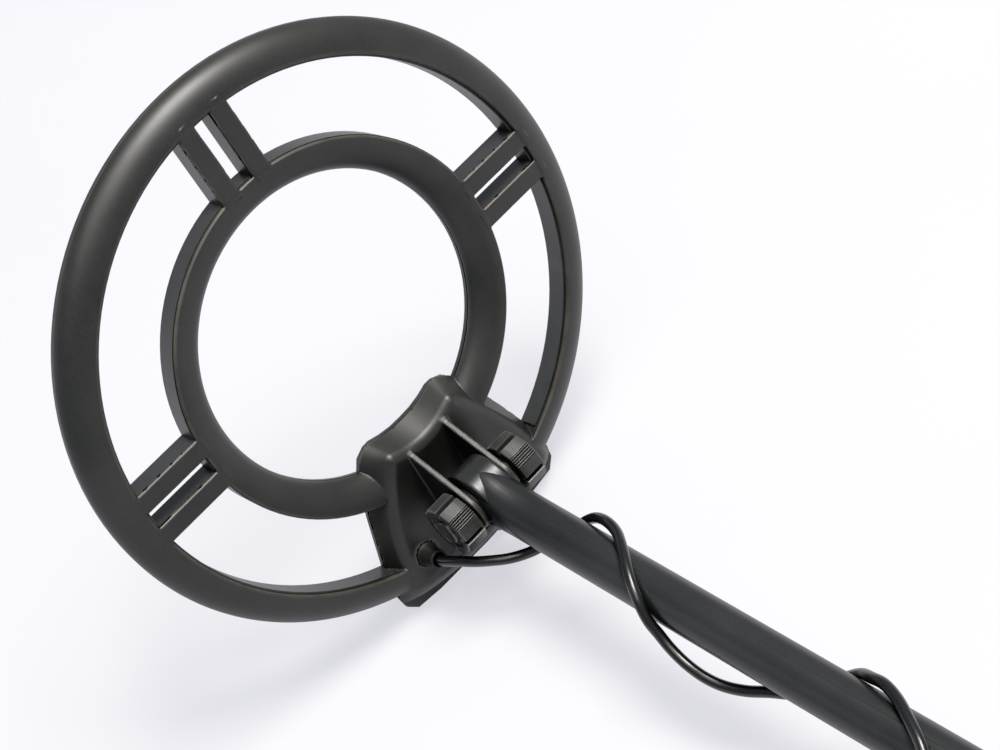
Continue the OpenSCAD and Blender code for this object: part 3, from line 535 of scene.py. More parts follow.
# Each material's builder and its settings
LOOKS = {
    # coil: the tan edge colour is a painted highlight along the rounded ear, ridge and window
    # edges
    "coil_plastic": (plastic, dict(
        base=(0.0195, 0.0195, 0.0188), rough=0.38, grain_size=0.42, grain_depth=0.016,
        edge=(0.22, 0.20, 0.155), edge_wear_and_highlight=0.5, vary=0.22, scuff=0.22)),
    "tray": (plastic, dict(
        base=(0.020, 0.020, 0.0205), rough=0.36, grain_size=0.5, grain_depth=0.006,
        edge=(0.10, 0.10, 0.09), edge_wear_and_highlight=0.2, vary=0.2, specular=0.6, scuff=0.5)),
    "knob_plastic": (plastic, dict(
        base=(0.030, 0.030, 0.0305), rough=0.30, grain_size=0.6, grain_depth=0.006,
        edge=(0.24, 0.23, 0.2), edge_wear_and_highlight=0.5, vary=0.15, scuff=0.3)),
    "rod_plastic": (plastic, dict(
        base=(0.0165, 0.0172, 0.018), rough=0.30, grain_size=0.3, grain_depth=0.008,
        vary=0.16, wave_size=30, wave_depth=0.03)),
    "cable_jacket": (plastic, dict(
        base=(0.008, 0.008, 0.008), rough=0.26, grain_size=0.8, grain_depth=0.01, vary=0.1,
        specular=0.55, scuff=0.25, wave_size=6, coat=0.25, coat_rough=0.15)),
    "rubber_black": (plastic, dict(
        base=(0.014, 0.0138, 0.0135), rough=0.56, grain_size=0.5, grain_depth=0.03,
        edge=(0.09, 0.09, 0.085), edge_wear_and_highlight=0.3, specular=0.35, scuff=0.4)),
    "box_plastic": (plastic, dict(
        base=(0.021, 0.021, 0.022), rough=0.48, grain_size=0.9, grain_depth=0.05,
        edge=(0.12, 0.12, 0.11), edge_wear_and_highlight=0.35, vary=0.18, specular=0.45, scuff=0.25)),
    "panel_plastic": (plastic, dict(
        base=(0.036, 0.037, 0.040), rough=0.38, grain_depth=0.01,
        edge=(0.15, 0.15, 0.15), edge_wear_and_highlight=0.3, vary=0.12, scuff=0.3)),
    "button_red": (plastic, RED),
    "needle_red": (plastic, RED),
    "dial_card": (plastic, dict(
        base=(0.80, 0.78, 0.68), rough=0.6, grain_size=0.25, grain_depth=0.006, vary=0.04,
        specular=0.2, scuff=0.0)),
    "print_white": (plastic, dict(
        base=(0.72, 0.72, 0.70), rough=0.5, grain_size=0.3, grain_depth=0.006, vary=0.06,
        specular=0.3, scuff=0.1)),
    "print_black": (plastic, dict(
        base=(0.02, 0.02, 0.022), rough=0.5, grain_size=0.3, grain_depth=0.004, vary=0.1,
        scuff=0.0)),
    "bush_grey": (plastic, dict(
        base=(0.14, 0.14, 0.145), rough=0.42, grain_size=0.5, grain_depth=0.01, vary=0.15,
        scuff=0.2)),
    "board_green": (plastic, dict(
        base=(0.012, 0.11, 0.045), rough=0.30, grain_size=0.7, grain_depth=0.01, vary=0.2,
        scuff=0.0)),
    "speaker_black": (plastic, dict(
        base=(0.03, 0.03, 0.032), rough=0.5, grain_size=0.5, grain_depth=0.03, vary=0.2,
        scuff=0.1)),
    "battery_wrap": (plastic, dict(
        base=(0.035, 0.045, 0.13), rough=0.3, grain_size=0.6, grain_depth=0.01, vary=0.15,
        scuff=0.2, coat=0.4)),
    "wire_coated": (plastic, dict(
        base=(0.024, 0.024, 0.026), rough=0.40, grain_size=0.7, grain_depth=0.03,
        edge=(0.25, 0.25, 0.25), edge_wear_and_highlight=0.2, vary=0.2, scuff=0.5)),
    "steel_plated": (plain_metal, dict(
        base=(0.58, 0.59, 0.60), rough=0.34, dark=(0.30, 0.29, 0.27))),
    "brass_turned": (plain_metal, dict(
        base=(0.62, 0.45, 0.19), rough=0.32, dark=(0.33, 0.22, 0.10))),
    "copper_wire": (copper, dict(
        base=(0.50, 0.20, 0.09), rough=0.33, dark=(0.28, 0.10, 0.05))),
    "tube_anodised": (anodised, {}),
    "grip_foam": (foam, {}),
    "window_clear": (window, {}),
    "pad_fabric": (weave, dict(
        base=(0.022, 0.022, 0.024), pitch=1.1, rotation=(0, REAR_ANGLE, 0), depth=0.2)),
    "strap_fabric": (weave, dict(
        base=(0.013, 0.013, 0.014), pitch=1.6, rotation=(0, REAR_ANGLE, 0), depth=0.3,
        sheen=0.2)),
    "thread": (weave, dict(
        base=(0.06, 0.06, 0.062), pitch=0.5, rotation=(0, 0, 0), depth=0.1)),
}
made = {}


def material(key):
    """Material by key, made on first use."""
    if key not in made:
        builder, settings = LOOKS[key]
        made[key] = builder("mat_" + key, **settings)
    return made[key]


# ---------------------------------------------------------------- coil cover, as a distance field
def smooth_max(a, b, radius):
    return (np.minimum(np.maximum(a, b), -radius)
            + np.hypot(np.maximum(a + radius, 0), np.maximum(b + radius, 0)))


def smooth_min(a, b, radius):
    return (np.maximum(np.minimum(a, b), radius)
            - np.hypot(np.maximum(radius - a, 0), np.maximum(radius - b, 0)))


def mirrored(half):
    """Closed outline from its y >= 0 half."""
    return half + [(x, -y) for x, y in half[-2:0:-1]]


def cut_corners(outline):
    """Two rounds of corner cutting."""
    points = np.asarray(outline, float)
    for _ in range(2):
        after = np.roll(points, -1, axis=0)
        pairs = np.stack([0.75 * points + 0.25 * after, 0.25 * points + 0.75 * after], 1)
        points = pairs.reshape(-1, 2)
    return points


def polygon_distance(polygon, x, y):
    best = np.full(x.shape, 1e9, np.float32)
    inside = np.zeros(x.shape, bool)
    for (ax, ay), (bx, by) in zip(polygon, np.roll(polygon, -1, axis=0)):
        ex, ey = bx - ax, by - ay
        wx, wy = x - ax, y - ay
        t = np.clip((wx * ex + wy * ey) / (ex * ex + ey * ey + 1e-12), 0, 1)
        best = np.minimum(best, (wx - ex * t) ** 2 + (wy - ey * t) ** 2)
        spans = (ay > y) != (by > y)
        crossing = ax + (y - ay) * ex / (ey if abs(ey) > 1e-12 else 1e-12)
        inside ^= spans & (x < crossing)
    best = np.sqrt(best)
    return np.where(inside, -best, best)


COVER_BASE = 2.05               # underside of the cover
BLOCK_RISE = 8.4                # height from BLOCK_FOOT to BLOCK_TOP
EAR_RADIUS = 10
PIVOT_X = PIVOT @ COIL_X * 1000
PIVOT_Z = PIVOT @ COIL_Z * 1000
GLAND_X, GLAND_Y = 104.0, -29.3

# Block on the +x side of the coil: outlines (x, y) at its foot and BLOCK_RISE above it
BLOCK_FOOT = cut_corners(mirrored([
    (53.7, 0), (53.6, 5), (52.9, 10), (51.3, 15), (50.0, 19.2), (50.3, 23.0), (53.0, 27.2),
    (58.4, 30.4), (66, 33.6), (78, 38), (90, 42.2), (100, 45.1), (109, 47.3), (115.5, 48.4),
    (120.6, 48.3), (123.4, 45.2), (125.5, 38.2), (128.0, 28), (130.2, 15), (131.0, 0)]))
BLOCK_TOP = cut_corners(mirrored([
    (58.8, 0), (58.3, 5), (57.1, 10), (55.3, 14.5), (54.0, 18.2), (55.3, 21.6), (59.6, 24.6),
    (65.6, 27.4), (73.5, 30.9), (84, 35.2), (91.8, 38.1), (100, 40.5), (107.4, 42.2),
    (114.6, 42.8), (118.4, 41.0), (120.8, 36.6), (123.0, 27.6), (125.0, 15), (125.8, 0)]))
# Hollow inside the block (x, y)
BLOCK_HOLLOW = np.array(mirrored([
    (65, 0), (65, 16), (78, 27), (100, 34.5), (112, 36.5), (119, 30), (120, 0)]), float)
# Area the hollow between the two rings leaves alone (x, y)
BLOCK_KEEP = np.array(mirrored([
    (20, 0), (20, 22.5), (57, 30.7), (77, 38.4), (100, 45.8), (118, 49.9), (134, 44.9),
    (134, 0)]))
# Height of the block's top along x
CREST_X = [40, 50, 55, 60, 64, 69, 76, 86, 97, 106, 111, 115, 119, 123, 127, 131, 136]
CREST_Z = [14.9, 14.9, 14.9, 14.8, 14.4, 13.7, 12.9, 12.4, 12.5, 12.7, 12.5, 11.8, 10.3, 8.4,
           6.1, 3.4, 0.5]
# Pivot ear, side view (x, z)
EAR = np.array([(60.0, 8), (61.0, 14.6), (PIVOT_X - 8.35, PIVOT_Z + 5.5), (PIVOT_X, PIVOT_Z),
                (PIVOT_X + EAR_RADIUS, PIVOT_Z), (101.5, 8)])


def crown(r, z, wall, rim, base, top, power, blend):
    """Ring section: upright at radius wall, curving down from top to base at radius rim."""
    u = np.maximum((r - wall) / (rim - wall), 1e-3)
    v = np.maximum((z - base) / (top - base), 1e-3)
    total = u ** power + v ** power
    norm = total ** (1 / power)
    slope = norm / total
    slope_u = u ** (power - 1) * slope / abs(rim - wall)
    slope_v = v ** (power - 1) * slope / (top - base)
    curve = (norm - 1) / np.sqrt(slope_u * slope_u + slope_v * slope_v + 1e-9)
    return smooth_max(curve, (wall - r) * np.sign(rim - wall), blend)


def plan_distances(x, y):
    """Distances to the plan outlines, which don't depend on z."""
    outlines = (BLOCK_FOOT, BLOCK_TOP, BLOCK_HOLLOW, BLOCK_KEEP)
    return [polygon_distance(outline, x, y) for outline in outlines]


def cover_distance(x, y, z, plans=None):
    r = np.hypot(x, y)
    foot, top, hollow, keep = plans if plans is not None else plan_distances(x, y)
    outer = crown(r, z, wall=110.8, rim=125.0, base=COVER_BASE, top=12.2, power=1.85, blend=1.1)
    inner = crown(r, z, wall=78.75, rim=64.4, base=COVER_BASE, top=11.8, power=1.89, blend=1.1)
    body = np.minimum(outer, inner)
    # three spokes of two bars each, towards +y, -x and -y
    for cos, sin in ((0.0, 1.0), (-1.0, 0.0), (0.0, -1.0)):
        along = x * cos + y * sin
        aside = np.abs(-x * sin + y * cos)
        bar = smooth_max(np.abs(aside - 8.3) - 4.5, z - 11.75, 1.3)
        bar = np.maximum(bar, np.maximum(76.0 - along, along - 113.5))
        body = smooth_min(body, bar, 0.5)
    # block with drafted sides; the factors bring the distances near true length
    rise = np.clip((z - COVER_BASE) / BLOCK_RISE, 0, 1.55)
    sides = ((1 - rise) * foot + rise * top) * 0.84
    crest = (z - np.interp(x, CREST_X, CREST_Z)) * 0.95
    body = smooth_min(body, smooth_max(sides, crest, 3.0), 0.35)
    # ears on both sides of the pivot
    from_pivot = np.hypot(x - PIVOT_X, z - PIVOT_Z)
    profile = np.minimum(polygon_distance(EAR, x, z), from_pivot - EAR_RADIUS)
    for side in (-1, 1):
        ear = smooth_max(profile, np.abs(side * y - 10.3) - 1.4, 0.75)
        body = smooth_min(body, ear, 1.4)
    # boss under the cable gland
    from_gland = np.hypot(x - GLAND_X, y - GLAND_Y)
    body = smooth_min(body, smooth_max(from_gland - 5.9, z - 12.95, 0.5), 1.2)
    # hollows: both rings, between the rings, block, gland hole, pivot hole
    cut = np.maximum(crown(r, z, wall=112.8, rim=123.0, base=0.0, top=10.2, power=1.85,
                           blend=0.3), z - 10.2)
    cut = np.minimum(cut, np.maximum(crown(r, z, wall=76.75, rim=66.4, base=0.0, top=9.8,
                                           power=1.89, blend=0.3), z - 9.8))
    between = np.maximum(np.maximum(z - 10.05, r - 113.0), 76.6 - r)
    cut = np.minimum(cut, np.maximum(between, -keep))
    cut = np.minimum(cut, np.maximum(hollow, z - 9.5))
    cut = np.minimum(cut, np.maximum(from_gland - 5.05, 5 - z))
    cut = np.minimum(cut, from_pivot - 4.05)
    return np.maximum(np.maximum(body, -cut), COVER_BASE - z)


def sample_cover(angles, radii, heights):
    """Cover distance on the polar grid, in batches of angles to save memory."""
    plan_x = np.cos(angles)[:, None] * radii[None]
    plan_y = np.sin(angles)[:, None] * radii[None]
    plans = [plan[..., None].astype(np.float32) for plan in plan_distances(plan_x, plan_y)]
    field = np.empty((len(angles), len(radii), len(heights)), np.float32)
    batch = 64
    for i in range(0, len(angles), batch):
        part = slice(i, min(len(angles), i + batch))
        shape = field[part].shape
        x, y, z = [np.broadcast_to(values, shape).astype(np.float32) for values in
                   (plan_x[part][..., None], plan_y[part][..., None], heights[None, None])]
        field[part] = cover_distance(x, y, z, [plan[part] for plan in plans])
    return field


def surface_nets(angles, radii, heights):
    """One vertex per surface cell of the polar grid, and quads round its crossed edges."""
    field = sample_cover(angles, radii, heights)
    na, nr, nz = field.shape
    inside = field < 0
    field_wrap = np.concatenate([field, field[:1]], 0)
    inside_wrap = np.concatenate([inside, inside[:1]], 0)
    corners = [(i, j, k) for i in (0, 1) for j in (0, 1) for k in (0, 1)]
    count = sum(inside_wrap[i:i + na, j:j + nr - 1, k:k + nz - 1].astype(np.int8)
                for i, j, k in corners)
    active = (count > 0) & (count < 8)
    ids = np.full(active.shape, -1, np.int64)
    cell_a, cell_r, cell_z = np.nonzero(active)
    total = len(cell_a)
    ids[cell_a, cell_r, cell_z] = np.arange(total)
    value = {c: field_wrap[cell_a + c[0], cell_r + c[1], cell_z + c[2]] for c in corners}

    # vertex in its cell: mean of the crossings on the cell's edges
    place = np.zeros((total, 3))
    hits = np.zeros(total)
    for corner in corners:
        for axis in range(3):
            if corner[axis] == 0:
                end = list(corner)
                end[axis] = 1
                first, last = value[corner], value[tuple(end)]
                crossed = (first < 0) != (last < 0)
                share = np.where(crossed, first / np.where(crossed, first - last, 1), 0)
                point = np.array(corner, float)[None].repeat(total, 0)
                point[:, axis] += share
                place[crossed] += point[crossed]
                hits[crossed] += 1
    place /= hits[:, None]
    turn = np.append(angles, angles[0] + 2 * math.pi)
    angle = turn[cell_a] + place[:, 0] * (turn[cell_a + 1] - turn[cell_a])
    radius = radii[cell_r] + place[:, 1] * (radii[cell_r + 1] - radii[cell_r])
    height = heights[cell_z] + place[:, 2] * (heights[cell_z + 1] - heights[cell_z])
    verts = np.stack([radius * np.cos(angle), radius * np.sin(angle), height], 1)

    # a quad joins the four cells round each crossed edge; index -1 wraps the angle
    quads = []
    for axis in range(3):
        others = [other for other in range(3) if other != axis]
        keep = [slice(None)] * 3
        for k in (1, 2):
            keep[k] = slice(0, -1) if k == axis else slice(1, -1)
        crossed = inside != np.roll(inside, -1, axis=axis)
        edge = list(np.nonzero(crossed[tuple(keep)]))
        for k in (1, 2):
            if k != axis:
                edge[k] = edge[k] + 1
        quad = []
        for back in ((1, 1), (0, 1), (0, 0), (1, 0)):
            cell = list(edge)
            for other, step in zip(others, back):
                cell[other] = edge[other] - step
            quad.append(ids[tuple(cell)])
        quads.append(np.stack(quad, 1))
    return verts, np.concatenate(quads)


def cover_gradient(verts, step=0.06):
    slope = np.empty_like(verts)
    for axis in range(3):
        offset = np.zeros(3)
        offset[axis] = step
        ahead, behind = verts + offset, verts - offset
        slope[:, axis] = (cover_distance(*ahead.T) - cover_distance(*behind.T)) / (2 * step)
    return slope


def cover_angles():
    """Grid angles in degrees: fine across the block and the spokes, coarse between."""
    fine_spans = [(-50, 50)] + [(centre - 13.5, centre + 13.5) for centre in (90, 180, 270)]
    fine, coarse = 0.5, 1.6
    angles = []
    angle = -50.0
    while angle < 310.0 - 1e-6:
        angles.append(angle)
        step = coarse
        for low, high in fine_spans:
            if low - 1e-6 <= angle < high - 1e-6:
                step = fine
                break
            if angle < low < angle + coarse:
                step = low - angle
        angle += step
    return np.array(angles)


def build_cover():
    heights = np.concatenate([np.arange(1.25, 16.6, 0.8), np.arange(17.3, 49.0, 0.9)])
    verts, quads = surface_nets(np.radians(cover_angles()), np.arange(44.0, 140.5, 0.85),
                                heights)
    # pull the vertices onto the surface, with limits on each step and on the whole move
    start = verts.copy()
    for _ in range(3):
        distance = cover_distance(*verts.T)
        slope = cover_gradient(verts)
        steep = np.maximum((slope * slope).sum(1), 0.15)
        step = -(distance / steep)[:, None] * slope
        length = np.linalg.norm(step, axis=1, keepdims=True)
        step *= np.minimum(1, 0.35 / np.maximum(length, 1e-9))
        move = verts + step - start
        length = np.linalg.norm(move, axis=1, keepdims=True)
        verts = start + move * np.minimum(1, 0.55 / np.maximum(length, 1e-9))
    slope = cover_gradient(verts)
    normals = slope / np.maximum(np.linalg.norm(slope, axis=1, keepdims=True), 1e-9)
    corner = verts[quads]
    facing = np.cross(corner[:, 2] - corner[:, 0], corner[:, 3] - corner[:, 1])
    flip = (facing * normals[quads].mean(1)).sum(1) < 0
    quads[flip] = quads[flip][:, ::-1]
    cover = make("cover_shell", (coil(verts), quads), "coil", "coil_plastic",
                 normals=coil_axes(normals))
    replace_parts(cover, "coil_cover")


# ---------------------------------------------------------------- thumb knobs
KNOB_RADIUS = 12.6

# (distance from the coil's middle plane, follows the lobes, radius or offset from the lobes)
KNOB_ROWS = [
    (12.0, False, 3.0), (12.0, False, 6.6), (12.15, False, 7.0), (12.9, False, 7.3),
    (13.2, False, 8.2), (13.2, True, -2.2), (13.25, True, -0.6), (13.45, True, -0.2),
    (13.75, True, 0.0), (17.0, True, 0.02), (20.0, True, 0.0), (23.3, True, -0.06),
    (23.8, True, -0.18), (24.05, True, -0.5), (24.1, True, -1.1), (24.1, False, 8.7),
    (24.0, False, 8.5), (23.2, False, 8.2), (23.1, False, 7.9), (23.1, False, 6.3),
    (23.2, False, 6.0), (24.3, False, 5.7), (24.55, False, 5.2), (24.6, False, 3.6),
    (24.3, False, 2.6), (24.3, False, 0.8),
]


def lobes(angles):
    """Radius by angle: four lobes, each flat pad - fine ribs - flat pad, with deep notches."""
    first_lobe, pad_centre, rib_pitch = 123.6, 27.0, 5.2     # degrees
    turn = (np.degrees(angles) - first_lobe + 45) % 90.0 - 45.0
    off = np.abs(turn)
    pad = KNOB_RADIUS * math.cos(math.radians(13.4)) / np.cos(np.radians(off - pad_centre))
    radius = np.where(off > 13.6, pad, np.full(angles.shape, KNOB_RADIUS))
    wave = np.abs(np.cos(np.radians(turn / rib_pitch * 180.0))) ** 0.8
    rib = KNOB_RADIUS - 0.05 - 0.85 * (1 - wave)
    radius = np.where(off <= 13.0, rib, radius)
    notch = np.clip((off - 38.6) / 3.6, 0, 1)
    return radius - 2.9 * (notch * notch * (3 - 2 * notch))


def thumb_knob(name, side, body, cad):
    angles = circle(720)
    outline = np.minimum(lobes(angles), KNOB_RADIUS)
    rings = [ring("y", side * y, outline + value if lobed else value, angles)
             for y, lobed, value in KNOB_ROWS]
    knob = make(name, solid(rings, pivot), body, "knob_plastic", angle=38)
    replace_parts(knob, cad)


# ---------------------------------------------------------------- cable gland
GLAND_PROFILE = [                   # (z, radius)
    (7.0, 2.34), (7.0, 4.6), (7.4, 5.0), (12.9, 5.0), (12.98, 5.2), (13.2, 5.35),
    (13.6, 5.35), (13.85, 5.1), (14.1, 4.95), (16.0, 4.62), (18.0, 4.2), (19.6, 3.86),
    (20.1, 3.8), (20.25, 4.0), (20.5, 4.12), (21.7, 4.08), (22.0, 3.9), (22.1, 3.6),
    (22.05, 3.15), (21.6, 2.95), (20.6, 2.86), (20.3, 2.34)]


def build_gland():
    def place(points):
        return coil(points + np.array([GLAND_X, GLAND_Y, 0.0]))

    rings = [ring("z", z, radius, circle(72)) for z, radius in GLAND_PROFILE]
    boot = make("gland_boot", solid(rings, place, closed=True), "coil", "rubber_black", angle=50)
    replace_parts(boot, "cable_gland")


# ---------------------------------------------------------------- cable
CABLE_RADIUS = 2.3
WIND_RADIUS = 14.45             # cable centreline on the shaft
WIND_PITCH = 130.0
WIND_END = 530                  # the cable leaves the shaft here
WIND_END_ANGLE = 20
GLAND_EXIT = 24.2               # height where the free cable starts

# Loose cable between the gland and the rod (x, y, z)
TAIL_POINTS = [(-1.7, -27.5, -17.5), (2.9, -25.6, -16.6), (8.9, -22.8, -15.8),
               (14.6, -18.9, -15.7), (19.4, -14.6, -16.2), (23.2, -9.9, -16.6),
               (27.6, -5.2, -15.3)]
# Stations about the shaft axis: (x, angle in degrees from +Y to +Z, radius)
TAIL_LANDING = (31, 268, 13.4)
ROD_STATIONS = [
    (36, 292, 12.9), (41, 320, 12.9), (47.2, 349, 12.9), (54.6, 375, 13.6),
    (62.9, 393, 14.3), (71, 406, 13.6), (80.1, 432.3, 12.6), (90, 466.4, 12.6),
    (98, 496.2, 12.6), (104.7, 531.6, 12.7), (109.2, 554, 13.6), (114.8, 568, 16.1),
    (122.3, 577, 18.7), (131.2, 582, 20.1), (139.1, 588, 20.1), (147.7, 595, 18.3),
    (156.4, 604, 15.1), (166, 622, 13.2), (172.5, 652, 13.2), (180.5, 686, 12.7),
    (189.3, 722, 12.5), (196.6, 748, 12.5), (203.8, 764, 13.7), (211.6, 777.1, 13.2),
    (221.9, 802.9, 12.6), (232, 831.7, 12.5), (238.5, 866, 12.5), (243.5, 903, 12.6),
    (247.5, 936, 13.2), (253, 955, 15)]
LINK_STATIONS = ROD_STATIONS[-2:] + [
    (262, 959, 17.2), (274, 960, 19.6), (286, 960, 21), (298, 960, 21.2), (320, 960, 21.2),
    (338, 960, 20.8), (346, 961, 19), (352, 964, 16.2), (358, 972, 14.6)]
# Bezier handles and end of the lead to the control box, then its plug (x, y, z)
LEAD_HANDLES = np.array([(552.0, 12, 19), (554.0, 34, 40), (578.0, 34, 40)])
LEAD_PLUG = (591.5, 34, 40)


def station(x, degrees, radius):
    return around(x, math.radians(degrees), radius)


def wind_angle(x):
    return WIND_END_ANGLE + 360 * (x - WIND_END) / WIND_PITCH


def gland_axis(z):
    """Point on the gland's axis, in the shaft frame."""
    return (coil((GLAND_X, GLAND_Y, z))[0] - PIVOT) * 1000


def cable(name, points, body=None):
    tube = sweep(shaft(smooth_curve(points)), CABLE_RADIUS / 1000, sides=18)
    return make(name, tube, body, "cable_jacket", angle=60)


def build_cables():
    rod_points = [station(*row) for row in ROD_STATIONS]
    link_points = [station(*row) for row in LINK_STATIONS]

    tail_points = [gland_axis(z) for z in (6.0, 14.0, 20.0, GLAND_EXIT)] + TAIL_POINTS
    tail = cable("cable_tail", tail_points + [station(*TAIL_LANDING)] + rod_points[:2])
    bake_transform(tail)
    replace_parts(tail, "coil_cable")

    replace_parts(cable("cable_wound", rod_points, "lower_rod"), "rod_cable")

    link = cable("cable_link", link_points)
    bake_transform(link)

    # four whole turns more, to carry on from the link's angle
    points = link_points[-2:] + [station(x, wind_angle(x) + 4 * 360, WIND_RADIUS)
                                 for x in range(366, WIND_END + 1, 8)]
    start = np.array(station(WIND_END, WIND_END_ANGLE, WIND_RADIUS))
    first, second, end = LEAD_HANDLES
    for t in np.linspace(0.12, 1, 9):
        points.append(tuple((1 - t) ** 3 * start + 3 * t * (1 - t) ** 2 * first
                            + 3 * t * t * (1 - t) * second + t ** 3 * end))
    points.append(LEAD_PLUG)
    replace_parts(cable("cable_shaft", points, "shaft"), "shaft_cable")


# ---------------------------------------------------------------- lower rod and its lug
ROD_RADIUS = 10.0
ROD_BORE = 8.0
ROD_LENGTH = 460
ROD_CHEEK = 8.72                # half width beside the drum
COPE_RADIUS = 11.0              # the rod's end is hollowed to this, about the pivot
STRAIGHT_START = 12.6           # first flat ring after the hollowed end
ROD_SHARP = 32                  # degrees
# Half height of the rod near the drum, along x
RISE_X = [0, 1, 4, 7, 10, 14, 18, 22, 27, 33]
RISE_Z = [15.46, 15.45, 15.2, 14.62, 13.8, 12.55, 11.5, 10.75, 10.2, 10.0]
ROD_STATIONS_X = (STRAIGHT_START, 13.6, 15, 17, 19, 21, 23.5, 26, 29, 33, 40, 55, 75, 100, 130,
                  160, 200, 240, 280, 320, 380, 440, 459.5)


def cut_away(obj, cutter, angle):
    """Take a helper solid out of a mesh, then drop the helper."""
    cut = obj.modifiers.new("cut", "BOOLEAN")
    cut.operation = "DIFFERENCE"
    cut.solver = "EXACT"
    cut.object = cutter
    graph = bpy.context.evaluated_depsgraph_get()
    mesh = bpy.data.meshes.new_from_object(obj.evaluated_get(graph))
    obj.modifiers.clear()
    obj.data = mesh
    mesh.polygons.foreach_set("use_smooth", np.ones(len(mesh.polygons), bool))
    mesh.set_sharp_from_angle(angle=math.radians(angle))
    bpy.data.objects.remove(cutter, do_unlink=True)


def build_lower_rod():
    angles = list(np.radians(np.arange(0, 360, 2.5)))
    for seam_angle in (90, 270):
        angles += [math.radians(seam_angle + offset) for offset in (-2.0, -1.2, 1.2, 2.0)]
    angles = np.array(sorted(set(angles)))
    cos, sin = np.cos(angles), np.sin(angles)
    seam = np.zeros(len(angles))
    for seam_angle in (90, 270):
        near = np.clip(1 - np.abs(np.degrees(angles) - seam_angle) / 1.8, 0, 1)
        seam = np.maximum(seam, near)

    def section(x):
        """Tall oval at the drum, settling into the round tube; flat cheeks beside the drum."""
        tall = np.interp(x, RISE_X, RISE_Z)
        cheek = ROD_CHEEK + 1.5 * np.clip((x - 15.0) / 12.0, 0, 1)
        radius = 1.0 / np.sqrt((cos / ROD_RADIUS) ** 2 + (sin / tall) ** 2)
        return np.minimum(radius, cheek / np.maximum(np.abs(cos), 1e-3)) + 0.09 * seam

    def outer(x, offset=0.0):
        return ring("x", x, section(x) + offset, angles)

    def coped(offset, shift):
        """Ring where the outer skin meets the cope, found by repeated averaging."""
        x = np.full(len(angles), 4.0)
        for _ in range(30):
            radius = section(x)
            reach = COPE_RADIUS ** 2 - (radius * sin) ** 2
            x = 0.5 * x + 0.5 * np.sqrt(np.maximum(reach, 0.35 ** 2))
        return ring("x", x + shift, radius + offset, angles)

    def bore(x):
        return ring("x", x, ROD_BORE, angles)

    bore_end = np.sqrt(np.maximum(COPE_RADIUS ** 2 - (ROD_BORE * sin) ** 2, 0))
    rings = [bore(bore_end), coped(-0.45, 0.0), coped(-0.12, 0.06), coped(0.0, 0.4)]
    lip = rings[-1][:, 0]
    rings += [outer(lip * (1 - t) + STRAIGHT_START * t) for t in (0.15, 0.35, 0.55, 0.78)]
    rings += [outer(x) for x in ROD_STATIONS_X]
    rings += [outer(ROD_LENGTH, -0.4)] + [bore(x) for x in (ROD_LENGTH, 400, 300, 200, 100, 30)]
    rod = make("rod_tube", solid(rings, shaft, closed=True), "lower_rod", "rod_plastic",
               angle=ROD_SHARP)

    # room for the drum
    room = ((-7.46, 0.5), (-7.46, 15.56), (7.46, 15.56), (7.46, 0.5))     # (y, radius)
    verts, faces = solid([ring("y", y, radius, circle(160)) for y, radius in room], shaft)
    mesh = bpy.data.meshes.new("cutter")
    mesh.from_pydata(verts.tolist(), [], faces)
    cut_away(rod, link_mesh("cutter", mesh), ROD_SHARP)
    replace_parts(rod, "lower_rod")


def build_rod_lug():
    """Drum between the ears, bored for the bolt, and the spigot inside the rod."""
    drum = [(-7.4, 4.06), (-7.4, 14.6), (-7.25, 15.15), (-6.8, 15.45), (-6.0, 15.5),
            (6.0, 15.5), (6.8, 15.45), (7.25, 15.15), (7.4, 14.6), (7.4, 4.06)]  # (y, radius)
    spigot = [(10.0, 0.5), (10.0, 7.96), (51.4, 7.96), (52.0, 7.4), (52.0, 0.5)]  # (x, radius)
    shapes = [solid([ring("y", y, radius, circle(120)) for y, radius in drum], shaft,
                    closed=True),
              solid([ring("x", x, radius, circle(72)) for x, radius in spigot], shaft)]
    lug = make("rod_lug_drum", join(shapes), "lower_rod", "rod_plastic", angle=40)
    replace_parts(lug, "rod_lug")


# ---------------------------------------------------------------- foam grip
def build_foam_grip():
    start, end = 2.0, 98.0
    bore_radius = 14.04
    end_radius = 19.3
    stations = [start, 2.1, 2.6, 3.4, 4.4, 5.6, 7.0] + list(np.arange(8.5, 92.0, 1.0))
    stations += [93.0, 94.6, 95.8, 96.8, 97.5, 97.9, end]
    angles = circle(96)
    phases = np.random.RandomState(4).uniform(0, 6.28, (6, 2))[:, 0]
    rings = [ring("x", start, bore_radius, angles)]
    for x in stations:
        # finger waves and a slight swell, fading to plain ends with rounded rims
        radius = 17.9 + 0.8 * math.cos(math.radians(x * 360 / 24))
        radius += 0.6 * math.sin(math.pi * (x - 10) / 80)
        fade = min(1.0, max(0.0, (x - 8) / 6)) * min(1.0, max(0.0, (92 - x) / 6))
        radius = radius * fade + end_radius * (1 - fade)
        rim = 1 - min(1.0, min(x - start, end - x) / 3.2)
        radius = radius - 2.6 * (1 - math.sqrt(max(0.0, 1 - rim * rim)))
        wobble = sum(0.035 * np.sin((i + 1) * angles * 2 + x * (0.21 + 0.13 * i) + phases[i])
                     for i in range(6))
        seam = 0.45 * np.exp(-((np.degrees(angles) - 270) / 1.8) ** 2)
        rings.append(ring("x", x, radius + wobble - seam, angles))
    rings.append(ring("x", end, bore_radius, angles))
    foam_tube = make("foam_grip", solid(rings, grip, closed=True), "shaft", "grip_foam",
                     angle=60)
    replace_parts(foam_tube, "hand_grip")


